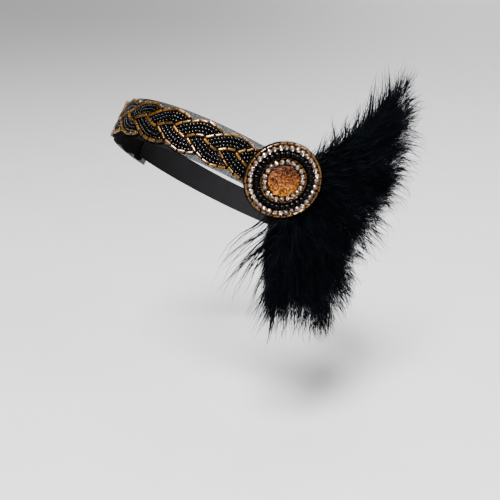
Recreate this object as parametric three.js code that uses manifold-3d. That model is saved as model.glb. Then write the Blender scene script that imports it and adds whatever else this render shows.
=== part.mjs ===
// Flapper headband: a beaded three-strand plait on a net band, closed round the back by a plain
// elastic, with a jewelled medallion at the left temple and two marabou plumes behind it.
// Millimetres, +Z up. The wearer faces -Y and their left is +X. The origin is the middle of the loop.
import * as THREE from 'three';
import { mergeVertices } from 'three/addons/utils/BufferGeometryUtils.js';
import Module from 'manifold-3d';

const wasm = await Module();
wasm.setup();
const degrees = THREE.MathUtils.degToRad;

// Driving dimensions. "along" runs round the loop from the middle of the brow towards the left,
// "out" leaves the head and "up" runs across the band.
const GAP = 0.3;
const LOOP = { halfLength: 93.5, halfWidth: 76.5, tilt: degrees(34.7), divisions: 2000 };
const NET = { height: 27.7, wall: 1.0, reach: 112, step: 7 };
const ELASTIC = { height: 20, wall: 1.2, lap: 12, step: 8 };
const PLAIT = {
  strands: 3,
  pitch: 20.46,
  start: 11,
  swing: 7.3,
  drop: 0.45,
  halfWidth: 5.1,
  thick: 2.4,
  underThick: 0.7,
  bevel: 0.7,
  reach: 106,
  step: 4.6,
  crossingReach: 13,
  firstCrossing: 1 / 12,
};
const MEDALLION = {
  along: 99.9,
  up: 1.4,
  azimuth: degrees(58.5),
  elevation: degrees(1.5),
  seatStep: 1,
  wide: 1.018,
  tall: 0.982,
};
const FELT = { radius: 24.4, thick: 1.5, sides: 44 };
const RING_FOOT = FELT.thick + GAP;
const OUTER_BUGLES = { radius: 23.3, count: 34, tube: 0.7, sides: 5, foot: RING_FOOT };
const OUTER_STONES = { radius: 20.8, count: 36, stone: 1.42, foot: RING_FOOT };
const BLACK_BEADS = { radius: 17.0, count: 33, across: 2.0, tall: 1.6, sides: 10, foot: RING_FOOT };
const INNER_BUGLES = { radius: 14.2, count: 22, tube: 0.5, sides: 5, foot: RING_FOOT };
const INNER_STONES = { radius: 12.0, count: 21, stone: 1.36, foot: RING_FOOT };
const CABOCHON = { radius: 10.2, rim: 1.4, crown: 3.2, sides: 28, rings: 4, foot: RING_FOOT };
const STONE = { cupTall: 1.3, table: 2.3, tableShare: 0.58, facets: 8, cupRim: 0.06 };
const BUGLE = { waist: 0.66, shoulder: 0.1 };
const BEAD_WAIST = 0.5;
// The head's side goes on below and above the band, and the plumes stay outside it
const HEAD_ROOM = { from: 20, reach: 130, depth: 20 };
const PLUMES = {
  azimuth: degrees(70),
  rootDepth: -4,
  thick: 9,
  sections: 6,
  sides: 7,
  rootSize: 0.5,
  tipSize: 0.05,
  fullAt: 0.5,
  tipTaper: 8,
  splitPoint: new THREE.Vector2(10, -3),
  splitTo: new THREE.Vector2(85, -29),
};

// Locks of each plume, in the upright plane that the plumes fan out in: x runs to the back of the
// head, y up and lift leaves the head, all from the middle of the medallion's back.
const UPPER_LOCKS = [
  { root: [10, 3], tip: [87, 59], bow: -10, width: 8, lift: 2 },
  { root: [12, 2], tip: [93, 43], bow: -5, width: 10.5, lift: 6 },
  { root: [13, 1], tip: [92, 24], bow: -2, width: 12, lift: 0 },
  { root: [14, 0], tip: [89, 4], bow: 0, width: 12, lift: 7 },
  { root: [14, -2], tip: [82, -16], bow: 2, width: 12, lift: 1 },
];
const LOWER_LOCKS = [
  { root: [14, -6], tip: [72, -36], bow: 3, width: 12, lift: 5 },
  { root: [12, -8], tip: [57, -59], bow: 3, width: 12, lift: 0 },
  { root: [10, -10], tip: [46, -86], bow: 3, width: 12, lift: 7 },
  { root: [8, -11], tip: [32, -109], bow: 2, width: 11, lift: 2 },
  { root: [6, -11], tip: [15, -98], bow: 0, width: 11, lift: 8 },
  { root: [5, -11], tip: [1, -96], bow: -2, width: 10, lift: 1 },
  { root: [4, -10], tip: [-13, -86], bow: -1, width: 8, lift: 5 },
  { root: [2, -9], tip: [-14, -56], bow: -1, width: 7, lift: 1 },
];
const UPPER_HEAD = [9, 6, -6];
const LOWER_HEAD = [7, -10, -6];
const HEAD = { size: [14, 10, 9], sides: 10, rings: 6 };

const FINISH = {
  net: { color: 0x26262a, roughness: 0.9, metalness: 0 },
  elastic: { color: 0x121214, roughness: 0.85, metalness: 0 },
  blackBeads: { color: 0x0a0a0c, roughness: 0.2, metalness: 0 },
  felt: { color: 0x0e0e10, roughness: 1, metalness: 0 },
  gold: { color: 0xb07a34, roughness: 0.25, metalness: 1 },
  stones: { color: 0xe4d8cc, roughness: 0.08, metalness: 0.2 },
  cabochon: { color: 0xb8701e, roughness: 0.35, metalness: 0.4 },
  plume: { color: 0x08090c, roughness: 0.9, metalness: 0 },
};

// Closed solid through rings of equally many points. Each ring runs anticlockwise seen from ahead.
function loft(rings, endless = false) {
  const sides = rings[0].length;
  const index = [];
  const spans = endless ? rings.length : rings.length - 1;
  for (let i = 0; i < spans; i += 1) {
    const here = i * sides;
    const next = ((i + 1) % rings.length) * sides;
    for (let j = 0; j < sides; j += 1) {
      const k = (j + 1) % sides;
      index.push(here + j, here + k, next + k, here + j, next + k, next + j);
    }
  }
  if (!endless) {
    const last = (rings.length - 1) * sides;
    for (let j = 1; j < sides - 1; j += 1) {
      index.push(0, j + 1, j, last, last + j, last + j + 1);
    }
  }
  const geometry = new THREE.BufferGeometry().setFromPoints(rings.flat());
  geometry.setIndex(index);
  return geometry;
}

// A geometry as a solid that can be joined and cut
function toSolid(geometry) {
  const bare = geometry.clone();
  bare.deleteAttribute('normal');
  bare.deleteAttribute('uv');
  const merged = mergeVertices(bare, 1e-4);
  const vertProperties = new Float32Array(merged.attributes.position.array);
  const triVerts = new Uint32Array(merged.index.array);
  return new wasm.Manifold(new wasm.Mesh({ numProp: 3, vertProperties, triVerts }));
}

function toGeometry(solid) {
  const { vertProperties, triVerts } = solid.getMesh();
  const geometry = new THREE.BufferGeometry();
  geometry.setAttribute('position', new THREE.BufferAttribute(vertProperties, 3));
  geometry.setIndex(new THREE.BufferAttribute(triVerts, 1));
  return geometry;
}

const join = (solids) => solids.reduce((whole, solid) => whole.add(solid));
const cut = (solid, tools) => tools.reduce((rest, tool) => rest.subtract(tool), solid);

function addMesh(parent, name, geometry, finish) {
  geometry.computeVertexNormals();
  const mesh = new THREE.Mesh(geometry, new THREE.MeshStandardMaterial(finish));
  mesh.name = name;
  parent.add(mesh);
}

// The loop: an oval in its own plane, starting at the brow and running to the wearer's left
const oval = new THREE.EllipseCurve(
  0, 0, LOOP.halfWidth, LOOP.halfLength, -Math.PI / 2, 1.5 * Math.PI,
);
oval.arcLengthDivisions = LOOP.divisions;
const girth = oval.getLength();

function onLoop(along, out, up) {
  const share = THREE.MathUtils.euclideanModulo(along / girth, 1);
  const point = oval.getPointAt(share);
  const tangent = oval.getTangentAt(share);
  return new THREE.Vector3(point.x + tangent.y * out, point.y - tangent.x * out, up);
}

// Puts a flat geometry, whose x, y and z are along, up and out, round the loop
function bend(geometry) {
  const place = geometry.attributes.position;
  for (let i = 0; i < place.count; i += 1) {
    const { x, y, z } = onLoop(place.getX(i), place.getZ(i), place.getY(i));
    place.setXYZ(i, x, y, z);
  }
  return geometry;
}

// A flat strip of the loop, cut across into steps so that it bends smoothly
function strip({ from, to, low, high, halfHeight, step }) {
  const count = Math.ceil((to - from) / step);
  const rings = [];
  for (let i = 0; i <= count; i += 1) {
    const along = THREE.MathUtils.lerp(from, to, i / count);
    rings.push([
      new THREE.Vector3(along, -halfHeight, low),
      new THREE.Vector3(along, halfHeight, low),
      new THREE.Vector3(along, halfHeight, high),
      new THREE.Vector3(along, -halfHeight, high),
    ]);
  }
  return bend(loft(rings));
}

// The plait: each strand swings across the band in a sine wave, a third of a wave from the last
const plaitPeriod = PLAIT.strands * PLAIT.pitch;
const plaitBase = NET.wall + GAP;
const plaitTop = plaitBase + PLAIT.thick;

function ribbon({ strand, from, to, halfWidth, low, high, bevel }) {
  const count = Math.ceil((to - from) / PLAIT.step);
  const rings = [];
  for (let i = 0; i <= count; i += 1) {
    const along = THREE.MathUtils.lerp(from, to, i / count);
    const phase = 2 * Math.PI * ((along - PLAIT.start) / plaitPeriod + strand / PLAIT.strands);
    const slope = ((2 * Math.PI * PLAIT.swing) / plaitPeriod) * Math.cos(phase);
    const middle = new THREE.Vector2(along, PLAIT.swing * Math.sin(phase) - PLAIT.drop);
    const across = new THREE.Vector2(-slope, 1).normalize();
    const corner = (side, out) => {
      const edge = middle.clone().addScaledVector(across, side);
      return new THREE.Vector3(edge.x, edge.y, out);
    };
    rings.push([
      corner(-halfWidth, low),
      corner(halfWidth, low),
      corner(halfWidth, high - bevel),
      corner(halfWidth - bevel, high),
      corner(-halfWidth + bevel, high),
      corner(-halfWidth, high - bevel),
    ]);
  }
  return toSolid(loft(rings));
}

// The three strands, woven: where two cross, both give way so that they keep a gap
function plaitStrands() {
  const { strands, reach, crossingReach, halfWidth, underThick, bevel } = PLAIT;
  const spare = 2 * halfWidth;
  const ends = new THREE.BoxGeometry(2 * reach, NET.height, 4 * PLAIT.thick).translate(0, 0, plaitBase);
  const solids = [];
  for (let strand = 0; strand < strands; strand += 1) {
    const whole = { strand, from: -reach - spare, to: reach + spare, halfWidth, bevel };
    solids.push(ribbon({ ...whole, low: plaitBase, high: plaitTop }).intersect(toSolid(ends)));
  }
  // Every half wave a strand crosses over the next one, which thins out to pass below it
  const underTop = plaitBase + underThick;
  for (let over = 0; over < strands; over += 1) {
    const under = (over + 1) % strands;
    const first = PLAIT.start + plaitPeriod * (PLAIT.firstCrossing - over / strands);
    const half = plaitPeriod / 2;
    const low = Math.ceil((-reach - spare - first) / half);
    const high = Math.floor((reach + spare - first) / half);
    for (let k = low; k <= high; k += 1) {
      const crossing = first + k * half;
      const near = {
        from: crossing - crossingReach,
        to: crossing + crossingReach,
        halfWidth: halfWidth + GAP,
        bevel: GAP,
      };
      const tunnel = ribbon({ ...near, strand: under, low: plaitBase - GAP, high: underTop + GAP });
      const slot = ribbon({ ...near, strand: over, low: underTop, high: plaitTop + GAP });
      solids[over] = solids[over].subtract(tunnel);
      solids[under] = solids[under].subtract(slot);
    }
  }
  return solids.map((solid) => bend(toGeometry(solid)));
}

// Rings of the medallion, on the medallion's own axis +Z
function ringSection(angle, radius, height, across, tall, sides) {
  const points = [];
  for (let j = 0; j < sides; j += 1) {
    const turn = (2 * Math.PI * j) / sides;
    const reach = radius - across * Math.cos(turn);
    const up = height + tall * Math.sin(turn);
    points.push(new THREE.Vector3(reach * Math.cos(angle), reach * Math.sin(angle), up));
  }
  return points;
}

// Straight tube beads, end to end round a circle, with a waist where two meet
function bugleRing({ radius, count, tube, sides, foot }) {
  const pitch = (2 * Math.PI) / count;
  const rings = [];
  for (let i = 0; i < count; i += 1) {
    const stations = [
      { share: 0, size: tube * BUGLE.waist },
      { share: BUGLE.shoulder, size: tube },
      { share: 1 - BUGLE.shoulder, size: tube },
    ];
    for (const { share, size } of stations) {
      rings.push(ringSection((i + share) * pitch, radius, foot + tube, size, size, sides));
    }
  }
  return loft(rings, true);
}

// Round beads in a ring, each a bulge between two waists
function roundBeadRing({ radius, count, across, tall, sides, foot }) {
  const pitch = (2 * Math.PI) / count;
  const rings = [];
  for (let i = 0; i < count; i += 1) {
    for (const [share, size] of [[0, BEAD_WAIST], [0.5, 1]]) {
      rings.push(ringSection((i + share) * pitch, radius, foot + tall, across * size, tall * size, sides));
    }
  }
  return loft(rings, true);
}

function lathe(profile, sides) {
  const points = profile.map(([x, y]) => new THREE.Vector2(x, y));
  return new THREE.LatheGeometry(points, sides).rotateX(Math.PI / 2);
}

// Cut stones with a table and crown facets, fused to the chain of cups that holds them
function stoneRing({ radius, count, stone, foot }) {
  const rim = stone + STONE.cupRim;
  const chain = toSolid(lathe([
    [radius - rim, 0],
    [radius + rim, 0],
    [radius + rim, STONE.cupTall],
    [radius - rim, STONE.cupTall],
    [radius - rim, 0],
  ], count));
  const gem = lathe([
    [0, STONE.cupTall / 2],
    [stone, STONE.cupTall / 2],
    [stone * STONE.tableShare, STONE.table],
    [0, STONE.table],
  ], STONE.facets);
  const solids = [chain];
  for (let i = 0; i < count; i += 1) {
    const angle = ((i + 0.5) * 2 * Math.PI) / count;
    const placed = gem.clone().translate(radius * Math.cos(Math.PI / count), 0, 0).rotateZ(angle);
    solids.push(toSolid(placed));
  }
  return toGeometry(join(solids)).translate(0, 0, foot);
}

// A low dome on a short upright rim
function cabochon() {
  const { radius, rim, crown, sides, rings, foot } = CABOCHON;
  const profile = [[0, 0], [radius, 0]];
  for (let i = 0; i <= rings; i += 1) {
    const turn = (Math.PI / 2) * (i / rings);
    profile.push([radius * Math.cos(turn), rim + (crown - rim) * Math.sin(turn)]);
  }
  profile[profile.length - 1][0] = 0;
  return lathe(profile, sides).translate(0, 0, foot);
}

// A frame that stands upright and faces out at an azimuth from the brow: x back, y up, z out
function facing(azimuth, elevation = 0) {
  const group = new THREE.Group();
  group.rotation.set(Math.PI / 2 - elevation, 0, azimuth, 'ZYX');
  return group;
}

// Lifts the medallion along its axis until its felt just clears the plait below it
function seatMedallion(medallion, loop) {
  medallion.position.copy(loop.localToWorld(onLoop(MEDALLION.along, 0, MEDALLION.up)));
  medallion.updateMatrixWorld(true);
  const { seatStep } = MEDALLION;
  const halfPlait = PLAIT.swing + PLAIT.halfWidth;
  let highest = -Infinity;
  for (let along = MEDALLION.along - 2 * FELT.radius; along <= PLAIT.reach; along += seatStep) {
    for (const side of [-halfPlait - PLAIT.drop, 0, halfPlait - PLAIT.drop]) {
      const point = medallion.worldToLocal(loop.localToWorld(onLoop(along, plaitTop, side)));
      if (Math.hypot(point.x, point.y) < FELT.radius + seatStep) {
        highest = Math.max(highest, point.z);
      }
    }
  }
  medallion.translateZ(highest + GAP);
  medallion.updateMatrixWorld(true);
}

// A lock of the plume: a flattened spindle on a bowed axis
function lock({ root, tip, bow, width, lift }) {
  const start = new THREE.Vector3(root[0], root[1], PLUMES.rootDepth);
  const end = new THREE.Vector3(tip[0], tip[1], lift);
  const aside = new THREE.Vector3(-(end.y - start.y), end.x - start.x, 0).setLength(Math.abs(bow));
  const middle = start.clone().lerp(end, 0.5).addScaledVector(aside, Math.sign(bow) * 2);
  middle.z = lift / 2;
  const axis = new THREE.QuadraticBezierCurve3(start, middle, end);
  const rings = [];
  for (let i = 0; i <= PLUMES.sections; i += 1) {
    const share = i / PLUMES.sections;
    const rise = Math.sin((Math.PI / 2) * Math.min(share / PLUMES.fullAt, 1));
    const swell = THREE.MathUtils.lerp(PLUMES.rootSize, 1, rise);
    const size = swell * (1 - share ** PLUMES.tipTaper) + PLUMES.tipSize;
    const tangent = axis.getTangent(share);
    const across = new THREE.Vector3(0, 0, 1).cross(tangent).normalize();
    const outward = tangent.clone().cross(across);
    const centre = axis.getPoint(share);
    const ring = [];
    for (let j = 0; j < PLUMES.sides; j += 1) {
      const turn = (2 * Math.PI * j) / PLUMES.sides;
      const point = centre.clone().addScaledVector(across, width * size * Math.cos(turn));
      ring.push(point.addScaledVector(outward, PLUMES.thick * size * Math.sin(turn)));
    }
    rings.push(ring);
  }
  return loft(rings);
}

// The bound quill ends of a plume, wedged between the medallion and the band
function head(place) {
  return new THREE.SphereGeometry(1, HEAD.sides, HEAD.rings).scale(...HEAD.size).translate(...place);
}

// Everything on one side of the line that parts the two plumes, half a gap away from it
function sideOfSplit(sign) {
  const { splitPoint, splitTo } = PLUMES;
  const reach = 3 * splitTo.length();
  const angle = Math.atan2(splitTo.y - splitPoint.y, splitTo.x - splitPoint.x);
  const box = new THREE.BoxGeometry(reach, reach, reach).translate(0, sign * (reach + GAP) / 2, 0);
  return box.rotateZ(angle).translate(splitPoint.x, splitPoint.y, 0);
}

// Band, medallion and the room for the head, a gap larger, which the plumes are fitted to
function plumeNeighbours(loop, medallion) {
  const { from, reach, depth } = HEAD_ROOM;
  const halfHeight = NET.height / 2 + GAP;
  const walls = [
    { to: PLAIT.reach + GAP, high: plaitTop + GAP, halfHeight },
    { to: NET.reach + GAP, high: NET.wall + GAP, halfHeight },
    { to: girth / 2, high: 0, halfHeight: reach },
  ].map((size) => strip({ ...size, from, low: -depth, step: NET.step }));
  const disc = new THREE.CylinderGeometry(FELT.radius + GAP, FELT.radius + GAP, depth, FELT.sides);
  disc.rotateX(Math.PI / 2).translate(0, 0, depth / 2 - GAP);
  return [
    ...walls.map((wall) => toSolid(wall.applyMatrix4(loop.matrixWorld))),
    toSolid(disc.applyMatrix4(medallion.matrixWorld)),
  ];
}

function plume(locks, headPlace, side, fan, neighbours) {
  const pieces = [head(headPlace), ...locks.map(lock)].map(toSolid);
  const whole = join(pieces).intersect(toSolid(sideOfSplit(side)));
  const placed = toSolid(toGeometry(whole).applyMatrix4(fan.matrixWorld));
  return toGeometry(cut(placed, neighbours));
}

const headband = new THREE.Group();
const loop = new THREE.Group();
loop.rotation.x = -LOOP.tilt;
headband.add(loop);
headband.updateMatrixWorld(true);

addMesh(loop, 'net_band', strip({
  from: -NET.reach,
  to: NET.reach,
  low: 0,
  high: NET.wall,
  halfHeight: NET.height / 2,
  step: NET.step,
}), FINISH.net);
addMesh(loop, 'back_elastic', strip({
  from: NET.reach - ELASTIC.lap,
  to: girth - NET.reach + ELASTIC.lap,
  low: -GAP - ELASTIC.wall,
  high: -GAP,
  halfHeight: ELASTIC.height / 2,
  step: ELASTIC.step,
}), FINISH.elastic);
plaitStrands().forEach((strand, i) => {
  addMesh(loop, `braid_strand_${i + 1}`, strand, FINISH.blackBeads);
});

const medallion = facing(MEDALLION.azimuth, MEDALLION.elevation);
medallion.scale.set(MEDALLION.wide, MEDALLION.tall, 1);
headband.add(medallion);
seatMedallion(medallion, loop);
const felt = new THREE.CylinderGeometry(FELT.radius, FELT.radius, FELT.thick, FELT.sides);
addMesh(medallion, 'medallion_felt', felt.rotateX(Math.PI / 2).translate(0, 0, FELT.thick / 2), FINISH.felt);
addMesh(medallion, 'outer_bugle_ring', bugleRing(OUTER_BUGLES), FINISH.gold);
addMesh(medallion, 'outer_crystal_ring', stoneRing(OUTER_STONES), FINISH.stones);
addMesh(medallion, 'black_bead_ring', roundBeadRing(BLACK_BEADS), FINISH.blackBeads);
addMesh(medallion, 'inner_bugle_ring', bugleRing(INNER_BUGLES), FINISH.gold);
addMesh(medallion, 'inner_crystal_ring', stoneRing(INNER_STONES), FINISH.stones);
addMesh(medallion, 'centre_cabochon', cabochon(), FINISH.cabochon);

const fan = facing(PLUMES.azimuth);
fan.position.copy(medallion.position);
fan.updateMatrixWorld(true);
const neighbours = plumeNeighbours(loop, medallion);
addMesh(headband, 'plume_upper', plume(UPPER_LOCKS, UPPER_HEAD, 1, fan, neighbours), FINISH.plume);
addMesh(headband, 'plume_lower', plume(LOWER_LOCKS, LOWER_HEAD, -1, fan, neighbours), FINISH.plume);

export default headband;
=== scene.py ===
"""Looks of a flapper headband: net, elastic, beads, stones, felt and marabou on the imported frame.

Lengths are in millimetres, and become metres when a mesh is made. The wearer faces -Y, their left is +X
and +Z is up. On the loop, "along" runs from the middle of the brow to the left, "up" runs across the band
and "out" leaves the head. Pairs of numbers with plural names are the limits of a random choice.
"""

import logging
import math
from abc import ABC, abstractmethod
from dataclasses import dataclass, field
from enum import Enum

import bpy
import numpy as np
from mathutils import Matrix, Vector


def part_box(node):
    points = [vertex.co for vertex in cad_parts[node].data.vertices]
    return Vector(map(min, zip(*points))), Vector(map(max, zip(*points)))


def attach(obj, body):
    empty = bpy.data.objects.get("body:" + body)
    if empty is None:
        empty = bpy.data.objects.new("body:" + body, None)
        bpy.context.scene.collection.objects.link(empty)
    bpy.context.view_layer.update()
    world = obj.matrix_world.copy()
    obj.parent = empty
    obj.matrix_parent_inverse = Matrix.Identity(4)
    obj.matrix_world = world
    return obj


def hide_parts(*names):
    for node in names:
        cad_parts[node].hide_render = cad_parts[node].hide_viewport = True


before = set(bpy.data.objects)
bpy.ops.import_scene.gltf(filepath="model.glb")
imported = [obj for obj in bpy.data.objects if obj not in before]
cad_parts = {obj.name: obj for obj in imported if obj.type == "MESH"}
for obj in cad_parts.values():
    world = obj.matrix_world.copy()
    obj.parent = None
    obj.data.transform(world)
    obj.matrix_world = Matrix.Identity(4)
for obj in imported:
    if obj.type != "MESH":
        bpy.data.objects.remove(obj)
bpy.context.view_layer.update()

Array = np.ndarray
Chance = np.random.Generator
Material = bpy.types.Material
Piece = bpy.types.Object
Pair = tuple[float, float]
Point = tuple[float, float, float]
Colour = tuple[float, float, float]
Value = "Wire | float | int | Colour"

MM = 0.001
TURN = 2 * math.pi
TINY = 1e-9
BODY = "root"
LOG = logging.getLogger("headband")

# Points of a disc's innermost ring, and a quarter turn for flat directions that are rows
SECTORS = 6
ASIDE = np.array([[0, 1], [-1, 0]])


class Slot(Enum):
    """The record's material slots."""

    NET = "net"
    ELASTIC = "elastic"
    BLACK_BEADS = "black_beads"
    FELT = "felt"
    GOLD_BUGLES = "gold_bugles"
    CRYSTALS = "crystals"
    CABOCHON = "cabochon"
    PLUME = "plume"


class Shading(Enum):
    """How light runs over the edges between faces."""

    SMOOTH = True
    FACETED = False


# Shader maths


class Wire:
    """A shader socket: sums and products with it add the nodes that work them out."""

    def __init__(self, shader: "Shader", socket: bpy.types.NodeSocket | None) -> None:
        """Keeps the socket and the shader that it belongs to."""
        self.shader = shader
        self.socket = socket

    def _maths(self, operation: str, first: Value, second: Value) -> "Wire":
        """Adds one node for an operation on two values.

        Args:
            operation: the name that Math and Vector Math nodes share.
            first: the left side.
            second: the right side.

        Returns:
            The result, a vector if either side is one.
        """
        vectors = [side for side in (first, second) if isinstance(side, tuple)
                   or isinstance(side, Wire) and side.socket.type != "VALUE"]
        kind = "ShaderNodeVectorMath" if vectors else "ShaderNodeMath"
        return self.shader.node(kind, {"operation": operation}, {0: first, 1: second})

    def __add__(self, other: Value) -> "Wire":
        """Sum."""
        return self._maths("ADD", self, other)

    def __radd__(self, other: Value) -> "Wire":
        """Sum, reflected."""
        return self._maths("ADD", other, self)

    def __sub__(self, other: Value) -> "Wire":
        """Difference."""
        return self._maths("SUBTRACT", self, other)

    def __rsub__(self, other: Value) -> "Wire":
        """Difference, reflected."""
        return self._maths("SUBTRACT", other, self)

    def __mul__(self, other: Value) -> "Wire":
        """Product."""
        return self._maths("MULTIPLY", self, other)

    def __rmul__(self, other: Value) -> "Wire":
        """Product, reflected."""
        return self._maths("MULTIPLY", other, self)


class Shader:
    """The node tree of one material or world."""

    def __init__(self, owner: bpy.types.Material | bpy.types.World) -> None:
        """Empties the owner's node tree.

        Args:
            owner: what the tree belongs to.
        """
        self.owner = owner
        owner.use_nodes = True
        self.tree = owner.node_tree
        self.tree.nodes.clear()

    def node(self, kind: str, settings: dict | None = None, sockets: dict | None = None,
             output: int | str = 0) -> Wire:
        """Adds a node.

        Args:
            kind: the node's type.
            settings: its own options, set first; "stops" are a ramp's places and colours.
            sockets: values or wires for its inputs, by name or number.
            output: the output that is wanted.

        Returns:
            That output, or an end without a socket where the node has none.
        """
        made = self.tree.nodes.new(kind)
        for name, value in (settings or {}).items():
            if name == "stops":
                self._set_stops(made.color_ramp, value)
            else:
                setattr(made, name, value)
        for name, value in (sockets or {}).items():
            self._feed(made.inputs[name], value)
        return Wire(self, made.outputs[output] if made.outputs else None)

    def _set_stops(self, ramp: bpy.types.ColorRamp, stops: list[tuple[float, Colour]]) -> None:
        """Gives a colour ramp its stops.

        Args:
            ramp: the ramp of a new node, which has two stops.
            stops: place and colour of each stop.
        """
        for _ in stops[2:]:
            ramp.elements.new(1.0)
        for element, (place, colour) in zip(ramp.elements, stops):
            element.position = place
            element.color = (*colour, 1.0)

    def _feed(self, socket: bpy.types.NodeSocket, value: Value) -> None:
        """Links a wire to a socket, or sets the socket's own value.

        Args:
            socket: an input.
            value: what goes in; a number fills all parts of a vector.
        """
        if isinstance(value, Wire):
            self.tree.links.new(value.socket, socket)
        elif socket.type == "RGBA":
            socket.default_value = (*value, 1.0)
        elif socket.type == "VECTOR" and not isinstance(value, tuple):
            socket.default_value = (value, value, value)
        else:
            socket.default_value = value

    def place(self) -> Wire:
        """Place on the object, in metres."""
        return self.node("ShaderNodeTexCoord", output="Object")

    def chance(self) -> Wire:
        """A number from 0 to 1 that differs from bead to bead."""
        return self.node("ShaderNodeNewGeometry", output="Random Per Island")

    def noise(self, grain: float, detail: float = 3.0) -> Wire:
        """Soft noise.

        Args:
            grain: size of its largest spots, in mm.
            detail: how many finer layers it has.

        Returns:
            A value from 0 to 1.
        """
        sockets = {"Vector": self.place(), "Scale": 1 / (grain * MM), "Detail": detail}
        return self.node("ShaderNodeTexNoise", {}, sockets, "Fac")

    def blend(self, share: Wire, low: Colour, high: Colour) -> Wire:
        """Colour between two others.

        Args:
            share: 0 for the first colour and 1 for the second.
            low: the first colour.
            high: the second colour.

        Returns:
            The mixed colour.
        """
        return self.node("ShaderNodeMix", {"data_type": "RGBA"}, {0: share, 6: low, 7: high}, 2)

    def bump(self, height: Wire, depth: float) -> Wire:
        """Normal of a fine relief.

        Args:
            height: the relief, from 0 to 1.
            depth: its height in mm.

        Returns:
            The normal.
        """
        return self.node("ShaderNodeBump", {}, {"Height": height, "Distance": depth * MM}, "Normal")

    def surface(self, sockets: dict) -> Material:
        """Closes the tree with a Principled shader.

        Args:
            sockets: the shader's inputs by name.

        Returns:
            The finished material.
        """
        shaded = self.node("ShaderNodeBsdfPrincipled", {}, sockets)
        self.node("ShaderNodeOutputMaterial", {}, {"Surface": shaded})
        return self.owner


# Finishes


@dataclass(frozen=True)
class Finish(ABC):
    """A surface finish that can make its own material."""

    name: str

    @abstractmethod
    def sockets(self, shader: Shader) -> dict:
        """Adds the finish's nodes.

        Args:
            shader: the tree that takes them.

        Returns:
            Inputs of the Principled shader, by name.
        """

    def material(self) -> Material:
        """A new material with this finish."""
        shader = Shader(bpy.data.materials.new(self.name))
        return shader.surface(self.sockets(shader))


@dataclass(frozen=True)
class Mottled(Finish):
    """A finish between two colours: soft noise mottles it, dulls it and raises its relief."""

    dark: Colour
    pale: Colour
    grain: float
    detail: float = 3.0
    roughness: float = 0.5
    spread: float = 0.0
    gloss: float = 0.5
    metal: float = 0.0
    relief: float = 0.0

    def sockets(self, shader: Shader) -> dict:
        """Adds one noise that all inputs share.

        Args:
            shader: the tree that takes it.

        Returns:
            Inputs of the Principled shader, by name.
        """
        mottle = shader.noise(self.grain, self.detail)
        sockets = {
            "Base Color": shader.blend(mottle, self.dark, self.pale),
            "Metallic": self.metal,
            "Roughness": mottle * self.spread + self.roughness if self.spread else self.roughness,
            "Specular IOR Level": self.gloss,
        }
        if self.relief:
            sockets["Normal"] = shader.bump(mottle, self.relief)
        return sockets


@dataclass(frozen=True)
class WarmBrass(Mottled):
    """Brass of the stones' cups, browned and dulled in spots."""

    name: str = "warm_brass"
    dark: Colour = (0.05, 0.016, 0.007)
    pale: Colour = (0.24, 0.1, 0.036)
    grain: float = 0.9
    roughness: float = 0.47
    spread: float = -0.25
    metal: float = 1.0


@dataclass(frozen=True)
class MirrorFoil(Mottled):
    """Mirror foil on the backs of the stones."""

    name: str = "mirror_foil"
    dark: Colour = (0.3, 0.25, 0.22)
    pale: Colour = (0.85, 0.8, 0.75)
    grain: float = 1.2
    roughness: float = 0.06
    metal: float = 1.0


@dataclass(frozen=True)
class BlackFelt(Mottled):
    """Matted black wool felt."""

    name: str = "black_felt"
    dark: Colour = (0.0005, 0.0005, 0.0006)
    pale: Colour = (0.0026, 0.0024, 0.0026)
    grain: float = 0.35
    detail: float = 5.0
    roughness: float = 0.95
    gloss: float = 0.05
    relief: float = 0.25


@dataclass(frozen=True)
class NetThread(Mottled):
    """Fine black nylon thread of the net."""

    name: str = "net_thread"
    dark: Colour = (0.0008, 0.0008, 0.001)
    pale: Colour = (0.003, 0.003, 0.0035)
    grain: float = 3.0
    roughness: float = 0.6
    spread: float = 0.2
    gloss: float = 0.08


@dataclass(frozen=True)
class ThreadAndGapShade(Mottled):
    """Waxed dark brown thread that the beads are strung on; laid close under the beads, it is also painted
    shade in the gaps between them, its brown partly a painted reflection of the gold.
    """

    name: str = "thread_and_gap_shade"
    dark: Colour = (0.0012, 0.0006, 0.0005)
    pale: Colour = (0.005, 0.0022, 0.0014)
    grain: float = 0.4
    detail: float = 4.0
    roughness: float = 0.55
    spread: float = 0.2
    gloss: float = 0.1
    relief: float = 0.1


@dataclass(frozen=True)
class PaleFloor(Mottled):
    """Plain pale floor with a trace of mottle."""

    name: str = "pale_floor"
    dark: Colour = (0.2, 0.2, 0.203)
    pale: Colour = (0.218, 0.218, 0.221)
    grain: float = 60.0
    roughness: float = 0.75


@dataclass(frozen=True)
class WovenElastic(Mottled):
    """Black covered elastic: the fine fibres of its yarns, and broad worn spots."""

    name: str = "woven_elastic"
    dark: Colour = (0.0008, 0.0008, 0.001)
    pale: Colour = (0.01, 0.0097, 0.0105)
    grain: float = 0.3
    detail: float = 4.0
    roughness: float = 0.75
    spread: float = 0.2
    gloss: float = 0.05
    relief: float = 0.12
    worn_grain: float = 9.0
    worn_share: float = 0.3

    def sockets(self, shader: Shader) -> dict:
        """Adds the noises of fibres and wear.

        Args:
            shader: the tree that takes them.

        Returns:
            Inputs of the Principled shader, by name.
        """
        fibre = shader.noise(self.grain, self.detail)
        worn = shader.noise(self.worn_grain)
        share = fibre * (1 - self.worn_share) + worn * self.worn_share
        return {
            "Base Color": shader.blend(share, self.dark, self.pale),
            "Roughness": worn * self.spread + self.roughness,
            "Specular IOR Level": self.gloss,
            "Normal": shader.bump(fibre, self.relief),
        }


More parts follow.
